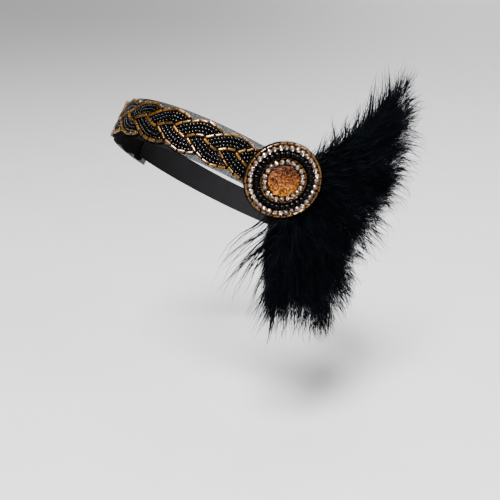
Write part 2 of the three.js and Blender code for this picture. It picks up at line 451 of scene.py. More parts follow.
@dataclass(frozen=True)
class BlackGlass(Finish):
    """Glossy opaque black glass, a little duller on some beads."""

    name: str = "black_glass"
    dark: Colour = (0.0002, 0.0002, 0.0003)
    pale: Colour = (0.0007, 0.0006, 0.0006)
    roughness: float = 0.06
    spread: float = 0.08
    gloss: float = 0.18

    def sockets(self, shader: Shader) -> dict:
        """Adds the differences between beads.

        Args:
            shader: the tree that takes them.

        Returns:
            Inputs of the Principled shader, by name.
        """
        chance = shader.chance()
        return {
            "Base Color": shader.blend(chance, self.dark, self.pale),
            "Roughness": chance * self.spread + self.roughness,
            "Specular IOR Level": self.gloss,
        }


@dataclass(frozen=True)
class RoundGlass(BlackGlass):
    """Black glass of the large round beads, evenly polished."""

    name: str = "black_round_glass"
    roughness: float = 0.05
    spread: float = 0.05
    gloss: float = 0.08


@dataclass(frozen=True)
class GoldLined(Finish):
    """Gold-lined glass tube: metal colour that differs from bead to bead, under a clear gloss."""

    name: str = "gold_lined_glass"
    brown: Colour = (0.015, 0.004, 0.0004)
    gold: Colour = (0.125, 0.06, 0.0085)
    roughness: float = 0.2
    spread: float = 0.16
    grain: float = 0.5
    detail: float = 4.0
    streak: float = 0.35
    metal: float = 0.7
    coat: float = 0.45

    def sockets(self, shader: Shader) -> dict:
        """Adds the differences between tubes, and the streaks of their lining.

        Args:
            shader: the tree that takes them.

        Returns:
            Inputs of the Principled shader, by name.
        """
        streaks = shader.noise(self.grain, self.detail)
        share = shader.chance() * (1 - self.streak) + streaks * self.streak
        return {
            "Base Color": shader.blend(share, self.brown, self.gold),
            "Metallic": self.metal,
            "Roughness": streaks * self.spread + self.roughness,
            "Coat Weight": self.coat,
        }


@dataclass(frozen=True)
class CutGlass(Finish):
    """Clear cut glass with a faint blush and a trace of haze."""

    name: str = "cut_glass"
    tint: Colour = (1.0, 0.965, 0.93)
    grain: float = 1.5
    haze: float = 0.03
    bending: float = 1.57

    def sockets(self, shader: Shader) -> dict:
        """Adds the haze.

        Args:
            shader: the tree that takes it.

        Returns:
            Inputs of the Principled shader, by name.
        """
        return {
            "Base Color": self.tint,
            "Roughness": shader.noise(self.grain) * self.haze,
            "Transmission Weight": 1.0,
            "IOR": self.bending,
        }


@dataclass(frozen=True)
class GoldGrit(Finish):
    """Coarse orange-gold glitter, darker at the top of the cabochon than at its foot."""

    name: str = "gold_grit"
    middle: float = 20.5
    half: float = 10.0
    grain: float = 0.8
    scatter: float = 0.4
    deep: Colour = (0.008, 0.0025, 0.0012)
    copper: Colour = (0.05, 0.0155, 0.005)
    amber: Colour = (0.112, 0.039, 0.0095)
    yellow: Colour = (0.285, 0.127, 0.025)
    stops: tuple[float, ...] = (0.1, 0.35, 0.65, 0.95)
    drop_share: float = 0.7
    spark_share: float = 0.62
    least: float = -0.2
    metal: float = 0.85
    roughness: float = 0.3
    spread: float = 0.2

    def sockets(self, shader: Shader) -> dict:
        """Adds the single sparks, and the shade from top to foot.

        Args:
            shader: the tree that takes them.

        Returns:
            Inputs of the Principled shader, by name.
        """
        place = shader.place()
        height = shader.node("ShaderNodeSeparateXYZ", {}, {0: place}, "Z")
        low = self.middle - self.half
        drop = 1 - (height * (1 / MM) - low) * (0.5 / self.half)
        grains = {"Vector": place, "Scale": 1 / (self.grain * MM), "Randomness": self.scatter}
        cells = shader.node("ShaderNodeTexVoronoi", {}, grains, "Color")
        spark = shader.node("ShaderNodeSeparateColor", {}, {0: cells}, 0)
        share = drop * self.drop_share + spark * self.spark_share + self.least
        stops = list(zip(self.stops, (self.deep, self.copper, self.amber, self.yellow)))
        return {
            "Base Color": shader.node("ShaderNodeValToRGB", {"stops": stops}, {0: share}, "Color"),
            "Metallic": self.metal,
            "Roughness": spark * self.spread + self.roughness,
        }


@dataclass(frozen=True)
class Marabou(Finish):
    """Soft black down with a cold sheen painted into its colour in streaks."""

    name: str = "marabou"
    # dark is the down's own black; pale is mostly the tone of the painted sheen
    dark: Colour = (0.0001, 0.00016, 0.0003)
    pale: Colour = (0.0017, 0.0027, 0.0046)
    roughness: float = 0.5
    spread: float = 0.3
    gloss: float = 0.04
    grain: float = 7.0
    detail: float = 2.0
    barb_share: float = 0.4
    sheen_streak_share: float = 1.6
    sheen_streak_from: float = 0.35

    def sockets(self, shader: Shader) -> dict:
        """Adds the streaks of painted sheen, and the differences between barbs.

        Args:
            shader: the tree that takes them.

        Returns:
            Inputs of the Principled shader, by name.
        """
        chance = shader.chance()
        # Painted sheen: streaks of noise that lift the colour towards the pale, cold tone
        streaks = shader.noise(self.grain, self.detail) - self.sheen_streak_from
        share = chance * self.barb_share + streaks * self.sheen_streak_share
        return {
            "Base Color": shader.blend(share, self.dark, self.pale),
            "Roughness": chance * self.spread + self.roughness,
            "Specular IOR Level": self.gloss,
        }


# Small forms, and the meshes that gather them


@dataclass
class Form:
    """Points of a small form, in mm, and blocks of faces with equally many corners."""

    points: Array
    faces: list[Array]


def turns(count: int, shift: float = 0.0) -> Array:
    """Equal turns round a circle, in radians."""
    return (np.arange(count) + shift) * TURN / count


def spin(angle: float, axis: int) -> Array:
    """A turn round one of the axes, for points that are rows.

    Args:
        angle: in radians.
        axis: 0 for X, 1 for Y and 2 for Z.

    Returns:
        Three rows and three columns.
    """
    cosine, sine = math.cos(angle), math.sin(angle)
    about_x = np.array([[1, 0, 0], [0, cosine, sine], [0, -sine, cosine]])
    return np.roll(about_x, axis, (0, 1))


def unit(vectors: Array) -> Array:
    """Vectors of length 1 in the same directions."""
    return vectors / np.maximum(np.linalg.norm(vectors, axis=-1, keepdims=True), TINY)


def grid_faces(rows: int, columns: int, round_rows: bool = False, round_columns: bool = False) -> Array:
    """Four-sided faces between the neighbours of a grid of points.

    Args:
        rows: how many rows the grid has.
        columns: how many points a row has.
        round_rows: whether the last row meets the first.
        round_columns: whether a row's last point meets its first.

    Returns:
        Point numbers, four a face.
    """
    i = np.arange(rows if round_rows else rows - 1)[:, None]
    j = np.arange(columns if round_columns else columns - 1)[None, :]
    below, beside = (i + 1) % rows, (j + 1) % columns
    corners = [i * columns + j, i * columns + beside, below * columns + beside, below * columns + j]
    return np.stack(np.broadcast_arrays(*corners), axis=-1).reshape(-1, 4)


def merge(forms: list[Form]) -> Form:
    """Several forms as one.

    Args:
        forms: what to join.

    Returns:
        The joined form.
    """
    points, faces, count = [], [], 0
    for form in forms:
        points.append(form.points)
        faces.extend(block + count for block in form.faces)
        count += len(form.points)
    return Form(np.concatenate(points), faces)


def lathe(profile: Array, sides: int) -> Form:
    """Turns a closed profile round the X axis.

    Args:
        profile: x and radius of each point, with the outside running towards +X.
        sides: faces round the axis.

    Returns:
        A closed ring.
    """
    turn = turns(sides)
    x, radius = np.repeat(profile[:, :1], sides, axis=1), profile[:, 1:]
    points = np.stack([x, radius * np.cos(turn), radius * np.sin(turn)], axis=-1)
    return Form(points.reshape(-1, 3), [grid_faces(len(profile), sides, True, True)])


def bead(length: float, radius: float, hole: float, square: float, sides: int, steps: int) -> Form:
    """A drilled bead on the X axis.

    Args:
        length: from end to end.
        radius: outside radius.
        hole: radius of the hole.
        square: 1 for a round section, less for a squarer one.
        sides: faces round the axis.
        steps: points of the section.

    Returns:
        The bead.
    """
    turn = turns(steps)
    ahead, aside = (np.sign(v) * np.abs(v) ** square for v in (-np.cos(turn), np.sin(turn)))
    radii = (radius + hole) / 2 + (radius - hole) / 2 * aside
    return lathe(np.stack([ahead * length / 2, radii], axis=1), sides)


def disc(rings: int) -> Form:
    """A flat disc of radius 1 facing +Z, each ring with six points more than the last.

    Args:
        rings: how many rings surround the middle point.

    Returns:
        The disc in triangles.
    """
    points = [np.zeros((1, 3))]
    triangles = []
    inside, outside = 0, 1
    for ring in range(rings):
        outer = ring + 1
        turn = turns(SECTORS * outer)
        circle = np.stack([np.cos(turn), np.sin(turn), np.zeros_like(turn)], axis=1)
        points.append(circle * outer / rings)
        for sector in range(SECTORS):
            near = [inside + (sector * ring + j) % max(SECTORS * ring, 1) for j in range(ring + 1)]
            far = [outside + (sector * outer + j) % (SECTORS * outer) for j in range(outer + 1)]
            triangles += [(near[j], far[j], far[j + 1]) for j in range(outer)]
            triangles += [(near[j], far[j + 1], near[j + 1]) for j in range(ring)]
        inside, outside = outside, outside + SECTORS * outer
    return Form(np.concatenate(points), [np.array(triangles)])


def button(top: Form, rim: Array) -> Form:
    """Closes a disc into a solid with an upright side and a flat back.

    Args:
        top: a form made by disc, already shaped.
        rim: the side's rows under the disc's edge, from the top down, as points of equal number.

    Returns:
        The solid.
    """
    edge = rim.shape[1]
    start = len(top.points) - edge
    points = np.concatenate([top.points, rim.reshape(-1, 3)])
    side = grid_faces(len(rim) + 1, edge, False, True)[:, ::-1] + start
    back = np.arange(len(points) - edge, len(points))[::-1][None, :]
    return Form(points, [*top.faces, side, back])


def places(at: Array, ahead: Array, up: Array, stretch: Array | float = 1.0) -> Array:
    """Where to put copies of a form.

    Args:
        at: the copies' middles.
        ahead: the directions of their X axes.
        up: the directions that their Z axes lean to.
        stretch: how much longer they are along X.

    Returns:
        Matrices of three rows and four columns.
    """
    x = unit(ahead)
    y = unit(np.cross(up, x))
    z = np.cross(x, y)
    return np.stack([x * np.reshape(stretch, (-1, 1)), y, z, at], axis=-1)


class Stock:
    """Gathers many small forms into one mesh."""

    def __init__(self) -> None:
        """Starts empty."""
        self.points: list[Array] = []
        self.faces: list[tuple[Array, int]] = []
        self.count = 0

    def add(self, form: Form, finish: int = 0) -> "Stock":
        """Takes in one form as it stands.

        Args:
            form: the form.
            finish: number of its finish among those that piece() gets.

        Returns:
            The stock itself.
        """
        self.points.append(form.points)
        self.faces.extend((block + self.count, finish) for block in form.faces)
        self.count += len(form.points)
        return self

    def stamp(self, form: Form, spots: Array, finish: int = 0) -> "Stock":
        """Takes in copies of a form.

        Args:
            form: the form.
            spots: a matrix for each copy, from places().
            finish: number of its finish among those that piece() gets.

        Returns:
            The stock itself.
        """
        points = np.einsum("nij,pj->npi", spots[:, :, :3], form.points) + spots[:, None, :, 3]
        shift = np.arange(len(spots))[:, None, None] * len(form.points)
        blocks = [(block[None] + shift).reshape(-1, block.shape[1]) for block in form.faces]
        return self.add(Form(points.reshape(-1, 3), blocks), finish)

    def ribbons(self, middles: Array, sides: Array) -> "Stock":
        """Takes in flat strips.

        Args:
            middles: points down the middle of each strip.
            sides: from each middle to the strip's edge.

        Returns:
            The stock itself.
        """
        strips, steps = middles.shape[:2]
        points = np.stack([middles - sides, middles + sides], axis=2)
        faces = grid_faces(steps, 2)[None] + np.arange(strips)[:, None, None] * 2 * steps
        return self.add(Form(points.reshape(-1, 3), [faces.reshape(-1, 4)]))

    def piece(self, name: str, *finishes: Material, shading: Shading = Shading.SMOOTH) -> Piece:
        """Makes the mesh and its object.

        Args:
            name: the object's name.
            finishes: its materials.
            shading: smooth or faceted.

        Returns:
            The object, in the scene.
        """
        mesh = bpy.data.meshes.new(name)
        corners = np.concatenate([block.ravel() for block, _ in self.faces])
        sizes = np.concatenate([np.full(len(block), block.shape[1]) for block, _ in self.faces])
        worn = np.concatenate([np.full(len(block), finish) for block, finish in self.faces])
        mesh.vertices.add(self.count)
        mesh.vertices.foreach_set("co", (np.concatenate(self.points) * MM).astype(np.float32).ravel())
        mesh.loops.add(len(corners))
        mesh.loops.foreach_set("vertex_index", corners.astype(np.int32))
        mesh.polygons.add(len(sizes))
        mesh.polygons.foreach_set("loop_start", (np.cumsum(sizes) - sizes).astype(np.int32))
        mesh.polygons.foreach_set("material_index", worn.astype(np.int32))
        mesh.polygons.foreach_set("use_smooth", np.full(len(sizes), shading.value))
        mesh.update(calc_edges=True)
        mesh.validate()
        for material in finishes:
            mesh.materials.append(material)
        made = bpy.data.objects.new(name, mesh)
        bpy.context.scene.collection.objects.link(made)
        return made


def fit(piece: Piece, slot: Slot, *nodes: str) -> Piece:
    """Rides a piece on the frame.

    Args:
        piece: the finished piece.
        slot: the record's material slot; not used.
        nodes: the solids that it stands for.

    Returns:
        The same piece.
    """
    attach(piece, BODY)
    if nodes:
        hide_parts(*nodes)
    return piece


# The loop and the flat frames that sit on it


@dataclass
class Loop:
    """The oval that the band follows, level at first and then tipped up at the brow."""

    half_length: float = 93.5
    half_width: float = 76.5
    tilt: float = math.radians(34.7)
    samples: int = 4000

    def __post_init__(self) -> None:
        """Measures the way round."""
        self.turns = np.linspace(0, TURN, self.samples + 1)
        steps = np.linalg.norm(np.diff(self.level(self.turns)[0], axis=0), axis=1)
        self.ways = np.concatenate([[0], np.cumsum(steps)])
        self.girth = self.ways[-1]

    def level(self, turn: Array) -> tuple[Array, Array]:
        """Places on the oval before it is tipped.

        Args:
            turn: turns from the middle of the brow to the left.

        Returns:
            The points, and the directions along the oval there.
        """
        cosine, sine, zero = np.cos(turn), np.sin(turn), np.zeros_like(turn)
        points = np.stack([self.half_width * sine, -self.half_length * cosine, zero], axis=-1)
        ahead = np.stack([self.half_width * cosine, self.half_length * sine, zero], axis=-1)
        return points, unit(ahead)

    def tip(self, points: Array, sign: int = 1) -> Array:
        """Points of the level loop tipped up at the brow, or levelled again if the sign is -1."""
        return points @ spin(-sign * self.tilt, 0)

    def put(self, along: Array, up: Array | float, out: Array | float) -> tuple[Array, ...]:
        """Points beside the loop.

        Args:
            along: way round from the middle of the brow.
            up: height across the band.
            out: distance from the head.

        Returns:
            The points, and the directions along, up and out there.
        """
        along, up, out = np.broadcast_arrays(np.asarray(along, float), up, out)
        points, ahead = self.level(np.interp(np.mod(along, self.girth), self.ways, self.turns))
        zero = np.zeros_like(along)
        away = np.stack([ahead[..., 1], -ahead[..., 0], zero], axis=-1)
        upright = np.stack([zero, zero, zero + 1], axis=-1)
        points[..., 2] = up
        points += away * out[..., None]
        return self.tip(points), self.tip(ahead), self.tip(upright), self.tip(away)

    def clear(self, points: Array, least: Array | float) -> Array:
        """Keeps points out of the room for the head.

        Args:
            points: any points.
            least: how far out of the loop they have to be.

        Returns:
            The points, pushed straight out where they were nearer.
        """
        level = self.tip(points, -1)
        share = np.hypot(level[..., 0] / self.half_width, level[..., 1] / self.half_length)
        reach = np.hypot(level[..., 0], level[..., 1])
        short = least - reach * (1 - 1 / np.maximum(share, TINY))
        level[..., :2] *= (1 + np.maximum(short, 0) / np.maximum(reach, TINY))[..., None]
        return self.tip(level)


@dataclass(frozen=True)
class Seat:
    """A place with its own axes: x to the back of the head, y up and z out."""

    origin: Array
    axes: Array

    @classmethod
    def facing(cls, origin: Array, azimuth: float, elevation: float = 0.0,
               wide: float = 1.0, tall: float = 1.0) -> "Seat":
        """A seat that faces out of the head's side.

        Args:
            origin: its place.
            azimuth: turn of its face from the brow to the left, in degrees.
            elevation: how far its face looks up, in degrees.
            wide: scale of x.
            tall: scale of y.

        Returns:
            The seat.
        """
        a, e = math.radians(azimuth), math.radians(elevation)
        x = np.array([math.cos(a), math.sin(a), 0.0])
        z = np.array([math.cos(e) * math.sin(a), -math.cos(e) * math.cos(a), math.sin(e)])
        return cls(np.asarray(origin, float), np.stack([x * wide, np.cross(z, x) * tall, z]))

    def put(self, points: Array) -> Array:
        """Points given on the seat, in the frame."""
        return self.origin + points @ self.axes

    def turn(self, vectors: Array) -> Array:
        """Directions given on the seat, in the frame."""
        return vectors @ self.axes

    def read(self, points: Array) -> Array:
        """Points of the frame, as given on the seat."""
        return (points - self.origin) @ np.linalg.inv(self.axes)


# Band


@dataclass
class NetBand:
    """Doubled strip of fine six-sided net that carries the beadwork."""

    loop: Loop
    height: float = 27.7
    reach: float = 112.0
    out: float = 0.8
    apart: float = 0.15
    mesh: float = 0.9
    thread: float = 0.16

    def build(self) -> list[Piece]:
        """Makes the net, thread by thread.

        Returns:
            The net.
        """
        stock = Stock()
        for shift, out in ((0.0, self.out - self.apart), (self.mesh / 2, self.out + self.apart)):
            threads = np.stack(self.threads(shift), axis=1)
            aside = unit(np.diff(threads, axis=1)) @ ASIDE * self.thread
            left, middle, right = (self.loop.put(*np.moveaxis(threads + aside * side, -1, 0), out)[0]
                                   for side in (-1, 0, 1))
            stock.ribbons(middle, (right - left) / 2)
        net = fit(stock.piece("tulle_net", NetThread().material()), Slot.NET, "net_band")
        return [net]

    def threads(self, shift: float) -> tuple[Array, Array]:
        """Threads of a honeycomb, laid flat.

        Args:
            shift: how far it is pushed along and up.

        Returns:
            Where each starts and ends, along and up.
        """
        row = self.mesh * math.sqrt(3) / 2
        rows = int(self.height / row) + 2
        columns = int(2 * self.reach / self.mesh) + 2
        j, i = np.meshgrid(np.arange(rows), np.arange(columns))
        along = (i + (j % 2) / 2) * self.mesh - self.reach
        knots = np.stack([along, j * row - self.height / 2], axis=-1).reshape(-1, 2) + shift
        arm = self.mesh / math.sqrt(3)
        arms = np.array([[0, arm], [self.mesh / 2, -arm / 2], [-self.mesh / 2, -arm / 2]])
        starts = np.repeat(knots, len(arms), axis=0)
        ends = (knots[:, None] + arms).reshape(-1, 2)
        limit = np.array([self.reach, self.height / 2])
        kept = (np.abs(starts) <= limit).all(axis=1) & (np.abs(ends) <= limit).all(axis=1)
        return starts[kept], ends[kept]


@dataclass
class BackElastic:
    """Ribbed elastic that closes the loop behind the head, sewn to the net at both ends."""

    loop: Loop
    start: float = 100.0
    height: float = 20.0
    inside: float = -1.5
    outside: float = -0.3
    ribs: int = 13
    rib_points: int = 4
    rib_depth: float = 0.16
    pick: float = 1.1
    pick_depth: float = 0.07
    seams: tuple[float, ...] = (107.6, 110.6)
    seam_from: float = 1.2
    seam_to: float = 0.4
    stitch: float = 1.9
    stitch_gap: float = 0.35
    yarn: float = 0.17
    yarn_core: float = 0.02
    yarn_square: float = 0.5
    proud_outside: float = 0.15
    proud_inside: float = 0.05

    def build(self) -> list[Piece]:
        """Makes the strap and its seams.

        Returns:
            The strap, and the stitches.
        """
        strap = fit(self.strap(), Slot.ELASTIC, "back_elastic")
        seams = fit(self.seam_thread(), Slot.ELASTIC)
        return [strap, seams]

    def strap(self) -> Piece:
        """Makes the woven strap.

        Returns:
            A closed band with ribs on both faces.
        """
        across = self.ribs * self.rib_points + 1
        share = np.linspace(0, 1, across)
        rows = int((self.loop.girth - 2 * self.start) / self.pick)
        along = np.linspace(self.start, self.loop.girth - self.start, rows)
        rib = np.abs(np.sin(math.pi * self.ribs * share))
        weave = np.cos(math.pi * (np.arange(rows)[:, None] + np.floor(share * self.ribs)[None, :]))
        relief = self.rib_depth * (rib - 1) + self.pick_depth * weave * rib
        up = (share - 0.5) * self.height
        outer = self.loop.put(along[:, None], up, self.outside + relief)[0]
        inner = self.loop.put(along[:, None], up, self.inside - relief)[0]
        section = np.concatenate([outer, inner[:, ::-1]], axis=1)
        count = 2 * across
        k = np.arange(across - 1)
        end = np.stack([k, k + 1, count - 2 - k, count - 1 - k], axis=1)
        ends = [end[:, ::-1], end + (rows - 1) * count]
        faces = grid_faces(rows, count, False, True)[:, ::-1]
        strap = Form(section.reshape(-1, 3), [faces, *ends])
        return Stock().add(strap).piece("elastic_strap", WovenElastic().material())

    def seam_thread(self) -> Piece:
        """Makes the rows of stitches that join net and strap.

        Returns:
            All stitches as one piece.
        """
        stock = Stock()
        shape = bead(self.stitch, self.yarn, self.yarn_core, self.yarn_square, sides=6, steps=8)
        half = self.height / 2
        up = np.arange(-half + self.seam_from, half - self.seam_to, self.stitch + self.stitch_gap)
        for seam in self.seams:
            for along in (seam, -seam):
                for out in (NetBand.out + self.proud_outside, self.inside - self.proud_inside):
                    at, _, upright, away = self.loop.put(np.full_like(up, along), up, out)
                    stock.stamp(shape, places(at, upright, away))
        return stock.piece("seam_stitches", WovenElastic("seam_thread").material())


@dataclass(frozen=True)
class BeadSize:
    """Sizes of a strung bead.

    Attributes:
        gap: the thread that shows between two beads.
        square: 1 for a round section, less for a squarer one.
        base: how far its foot is from the head.
        spare: its least distance from a strand that lies over it.
    """

    radius: float
    length: float
    gap: float
    hole: float
    square: float
    steps: int
    base: float
    spare: float
    sides: int = 10


class Bead(Enum):
    """The two beads of the plait."""

    SEED = BeadSize(radius=1.15, length=1.8, gap=0.25, hole=0.3, square=0.9,
                    steps=9, base=1.1, spare=0.3)
    TUBE = BeadSize(radius=1.0, length=4.2, gap=0.75, hole=0.36, square=0.14,
                    steps=12, base=2.0, spare=1.25)

    def form(self) -> Form:
        """Shape of the bead, on the X axis."""
        size = self.value
        return bead(size.length, size.radius, size.hole, size.square, size.sides, size.steps)


@dataclass
class Plait:
    """Three flat strands of bead strings, each edged with gold tubes and woven over the next.

    Attributes:
        pitch: way along the band from one crossing to the next.
        start: where the first strand rises through the band's middle.
        swing: how far a strand's middle line rises and falls.
        drop: how far the plait lies below the band's middle.
        reach: where the plait ends, on both sides of the brow's middle.
        edge: distance of the tubes from a strand's middle line.
        rows: distances of the seed bead strings from it.
        smallest: share of its full size that a seed bead keeps where it is crowded.
        astray, askew: how far beads are out of place and out of line.
        threads: how many threads a strand has under its beads, side by side as painted shade in the gaps.
        loose_end: the loose thread's knots, along and up, smoothed in loose_rounds.
    """

    loop: Loop
    strands: int = 3
    pitch: float = 20.46
    start: float = 11.0
    swing: float = 7.3
    drop: float = 0.45
    reach: float = 106.0
    overrun: float = 8.0
    step: float = 0.1
    edge: float = 4.4
    rows: tuple[float, ...] = (-2.35, 0.0, 2.35)
    smallest: float = 0.5
    heights: Pair = (-0.08, 0.12)
    astray: float = 0.1
    askew: float = 0.07
    lengths: Pair = (0.94, 1.02)
    random: int = 11
    threads: int = 9
    thread: float = 0.55
    thread_step: float = 2.5
    thread_sides: int = 5
    loose_end: tuple[Pair, ...] = ((71, -12), (71, -19), (72, -25), (75, -27.6), (85, -27), (91, -23))
    loose_rounds: int = 3
    loose_out: float = 4.0
    loose_thread: float = 0.16
    loose_sides: int = 3

    def build(self) -> list[Piece]:
        """Makes the beads of every strand, and their threads.

        Returns:
            Two pieces a strand, and the threads.
        """
        gold = GoldLined().material()
        black = BlackGlass().material()
        made = []
        for strand in range(self.strands):
            seeds = Stock()
            tubes = Stock()
            for row in self.rows:
                self.string(seeds, strand, row, Bead.SEED)
            for side in (-self.edge, self.edge):
                self.string(tubes, strand, side, Bead.TUBE)
            name = f"strand_{strand + 1}"
            beads = seeds.piece(f"{name}_seed_beads", black)
            made.append(fit(beads, Slot.BLACK_BEADS, f"braid_{name}"))
            made.append(fit(tubes.piece(f"{name}_bugle_beads", gold), Slot.GOLD_BUGLES))
        made.append(fit(self.threads_and_gap_shade(), Slot.BLACK_BEADS))
        return made

    def threads_and_gap_shade(self) -> Piece:
        """Makes the threads under the beads, which also run on below the crossings; side by side they make
        a dark ground, painted shade in the gaps between beads.

        Returns:
            All threads as one piece.
        """
        stock = Stock()
        along = np.arange(-self.reach, self.reach, self.thread_step)
        turn = turns(self.thread_sides)
        aside = self.thread * np.cos(turn)
        away = Bead.SEED.value.base + self.thread * np.sin(turn)
        faces = grid_faces(len(along), self.thread_sides, False, True)
        for strand in range(self.strands):
            up, slope = self.line(strand, along)
            lean = np.hypot(1, slope)
            # Threads across the strand's whole width, close together: a dark ground of painted shade under
            # the beads
            for side in np.linspace(-self.edge, self.edge, self.threads):
                shift = (side + aside)[None, :]
                over = along[:, None] - shift * (slope / lean)[:, None]
                rise = up[:, None] + shift / lean[:, None]
                points = self.loop.put(over, rise, away[None, :])[0]
                stock.add(Form(points.reshape(-1, 3), [faces]))
        return stock.add(self.loose()).piece("plait_threads_and_gap_shade", ThreadAndGapShade().material())

    def loose(self) -> Form:
        """A thread end that hangs below the net and curls back under the medallion.

        Returns:
            A thin tube.
        """
        knots = np.array(self.loose_end, float)
        for _ in range(self.loose_rounds):
            back, ahead = knots[:-1], knots[1:]
            cut = np.stack([(3 * back + ahead) / 4, (back + 3 * ahead) / 4], axis=1)
            knots = np.concatenate([knots[:1], cut.reshape(-1, 2), knots[-1:]])
        turn = turns(self.loose_sides)
        aside = unit(np.gradient(knots, axis=0)) @ ASIDE * self.loose_thread
        along = knots[:, :1] + aside[:, :1] * np.cos(turn)
        up = knots[:, 1:] + aside[:, 1:] * np.cos(turn)
        points = self.loop.put(along, up, self.loose_out + self.loose_thread * np.sin(turn))[0]
        return Form(points.reshape(-1, 3), [grid_faces(len(knots), self.loose_sides, False, True)])

    def line(self, strand: int, along: Array) -> tuple[Array, Array]:
        """Middle line of a strand.

        Args:
            strand: number of the strand.
            along: places round the loop.

        Returns:
            Its height and its slope there.
        """
        wave = TURN / (self.strands * self.pitch)
        phase = wave * (along - self.start) + TURN * strand / self.strands
        return self.swing * np.sin(phase) - self.drop, wave * self.swing * np.cos(phase)

    def string(self, stock: Stock, strand: int, side: float, kind: Bead) -> None:
        """Adds one string of beads, left out where another strand lies over it.

        Args:
            stock: what takes the beads.
            strand: number of the strand.
            side: the string's distance from the strand's middle line.
            kind: which bead is strung.
        """
        along = np.arange(-self.reach - self.overrun, self.reach + self.overrun, self.step)
        up, slope = self.line(strand, along)
        lean = np.hypot(1, slope)
        flat = np.stack([along - side * slope / lean, up + side / lean], axis=1)
        over, over_slope = self.line((strand - 1) % self.strands, flat[:, 0])
        apart = np.abs(flat[:, 1] - over) / np.hypot(1, over_slope)
        seen = (apart > self.edge + kind.value.spare) & (np.abs(flat[:, 0]) < self.reach)
        marks = np.flatnonzero(np.diff(np.concatenate([[False], seen, [False]]).astype(int)))
        for first, last in zip(marks[::2], marks[1::2]):
            self.run(stock, flat[first:last], apart[first:last], kind)

    def run(self, stock: Stock, flat: Array, apart: Array, kind: Bead) -> None:
        """Adds the beads of one stretch that shows, smaller seed beads where they meet a tube.

        Args:
            stock: what takes the beads.
            flat: the stretch, along and up.
            apart: distance from the middle of the strand that lies over this one.
            kind: which bead is strung.
        """
        sizes = kind.value
        ways = np.concatenate([[0], np.cumsum(np.linalg.norm(np.diff(flat, axis=0), axis=1))])
        count = int(round(ways[-1] / (sizes.length + sizes.gap)))
        if count == 0:
            return
        pitch = ways[-1] / count
        ends = np.arange(count + 1) * pitch
        corners = np.stack([np.interp(ends, ways, flat[:, k]) for k in range(2)], axis=1)
        middle = (corners[1:] + corners[:-1]) / 2
        ahead = np.diff(corners, axis=0)
        chance = np.random.default_rng([self.random, stock.count, count])
        size = np.ones(count)
        if kind is Bead.SEED:
            beside = np.interp((ends[1:] + ends[:-1]) / 2, ways, apart) - self.edge
            room = Bead.TUBE.value.radius + sizes.radius
            size = np.clip(beside / room, self.smallest, 1.0)
        out = sizes.base + sizes.radius * size + chance.uniform(*self.heights, count)
        middle = middle + chance.normal(0, self.astray, (count, 2))
        at, forward, upright, away = self.loop.put(middle[:, 0], middle[:, 1], out)
        axis = unit(forward * ahead[:, :1] + upright * ahead[:, 1:])
        axis = axis + chance.normal(0, self.askew, (count, 3))
        stretch = (pitch - sizes.gap) / sizes.length * chance.uniform(*self.lengths, count)
        spots = places(at, axis, away, stretch)
        spots[:, :, 1:3] *= size[:, None, None]
        stock.stamp(kind.form(), spots)


# Medallion


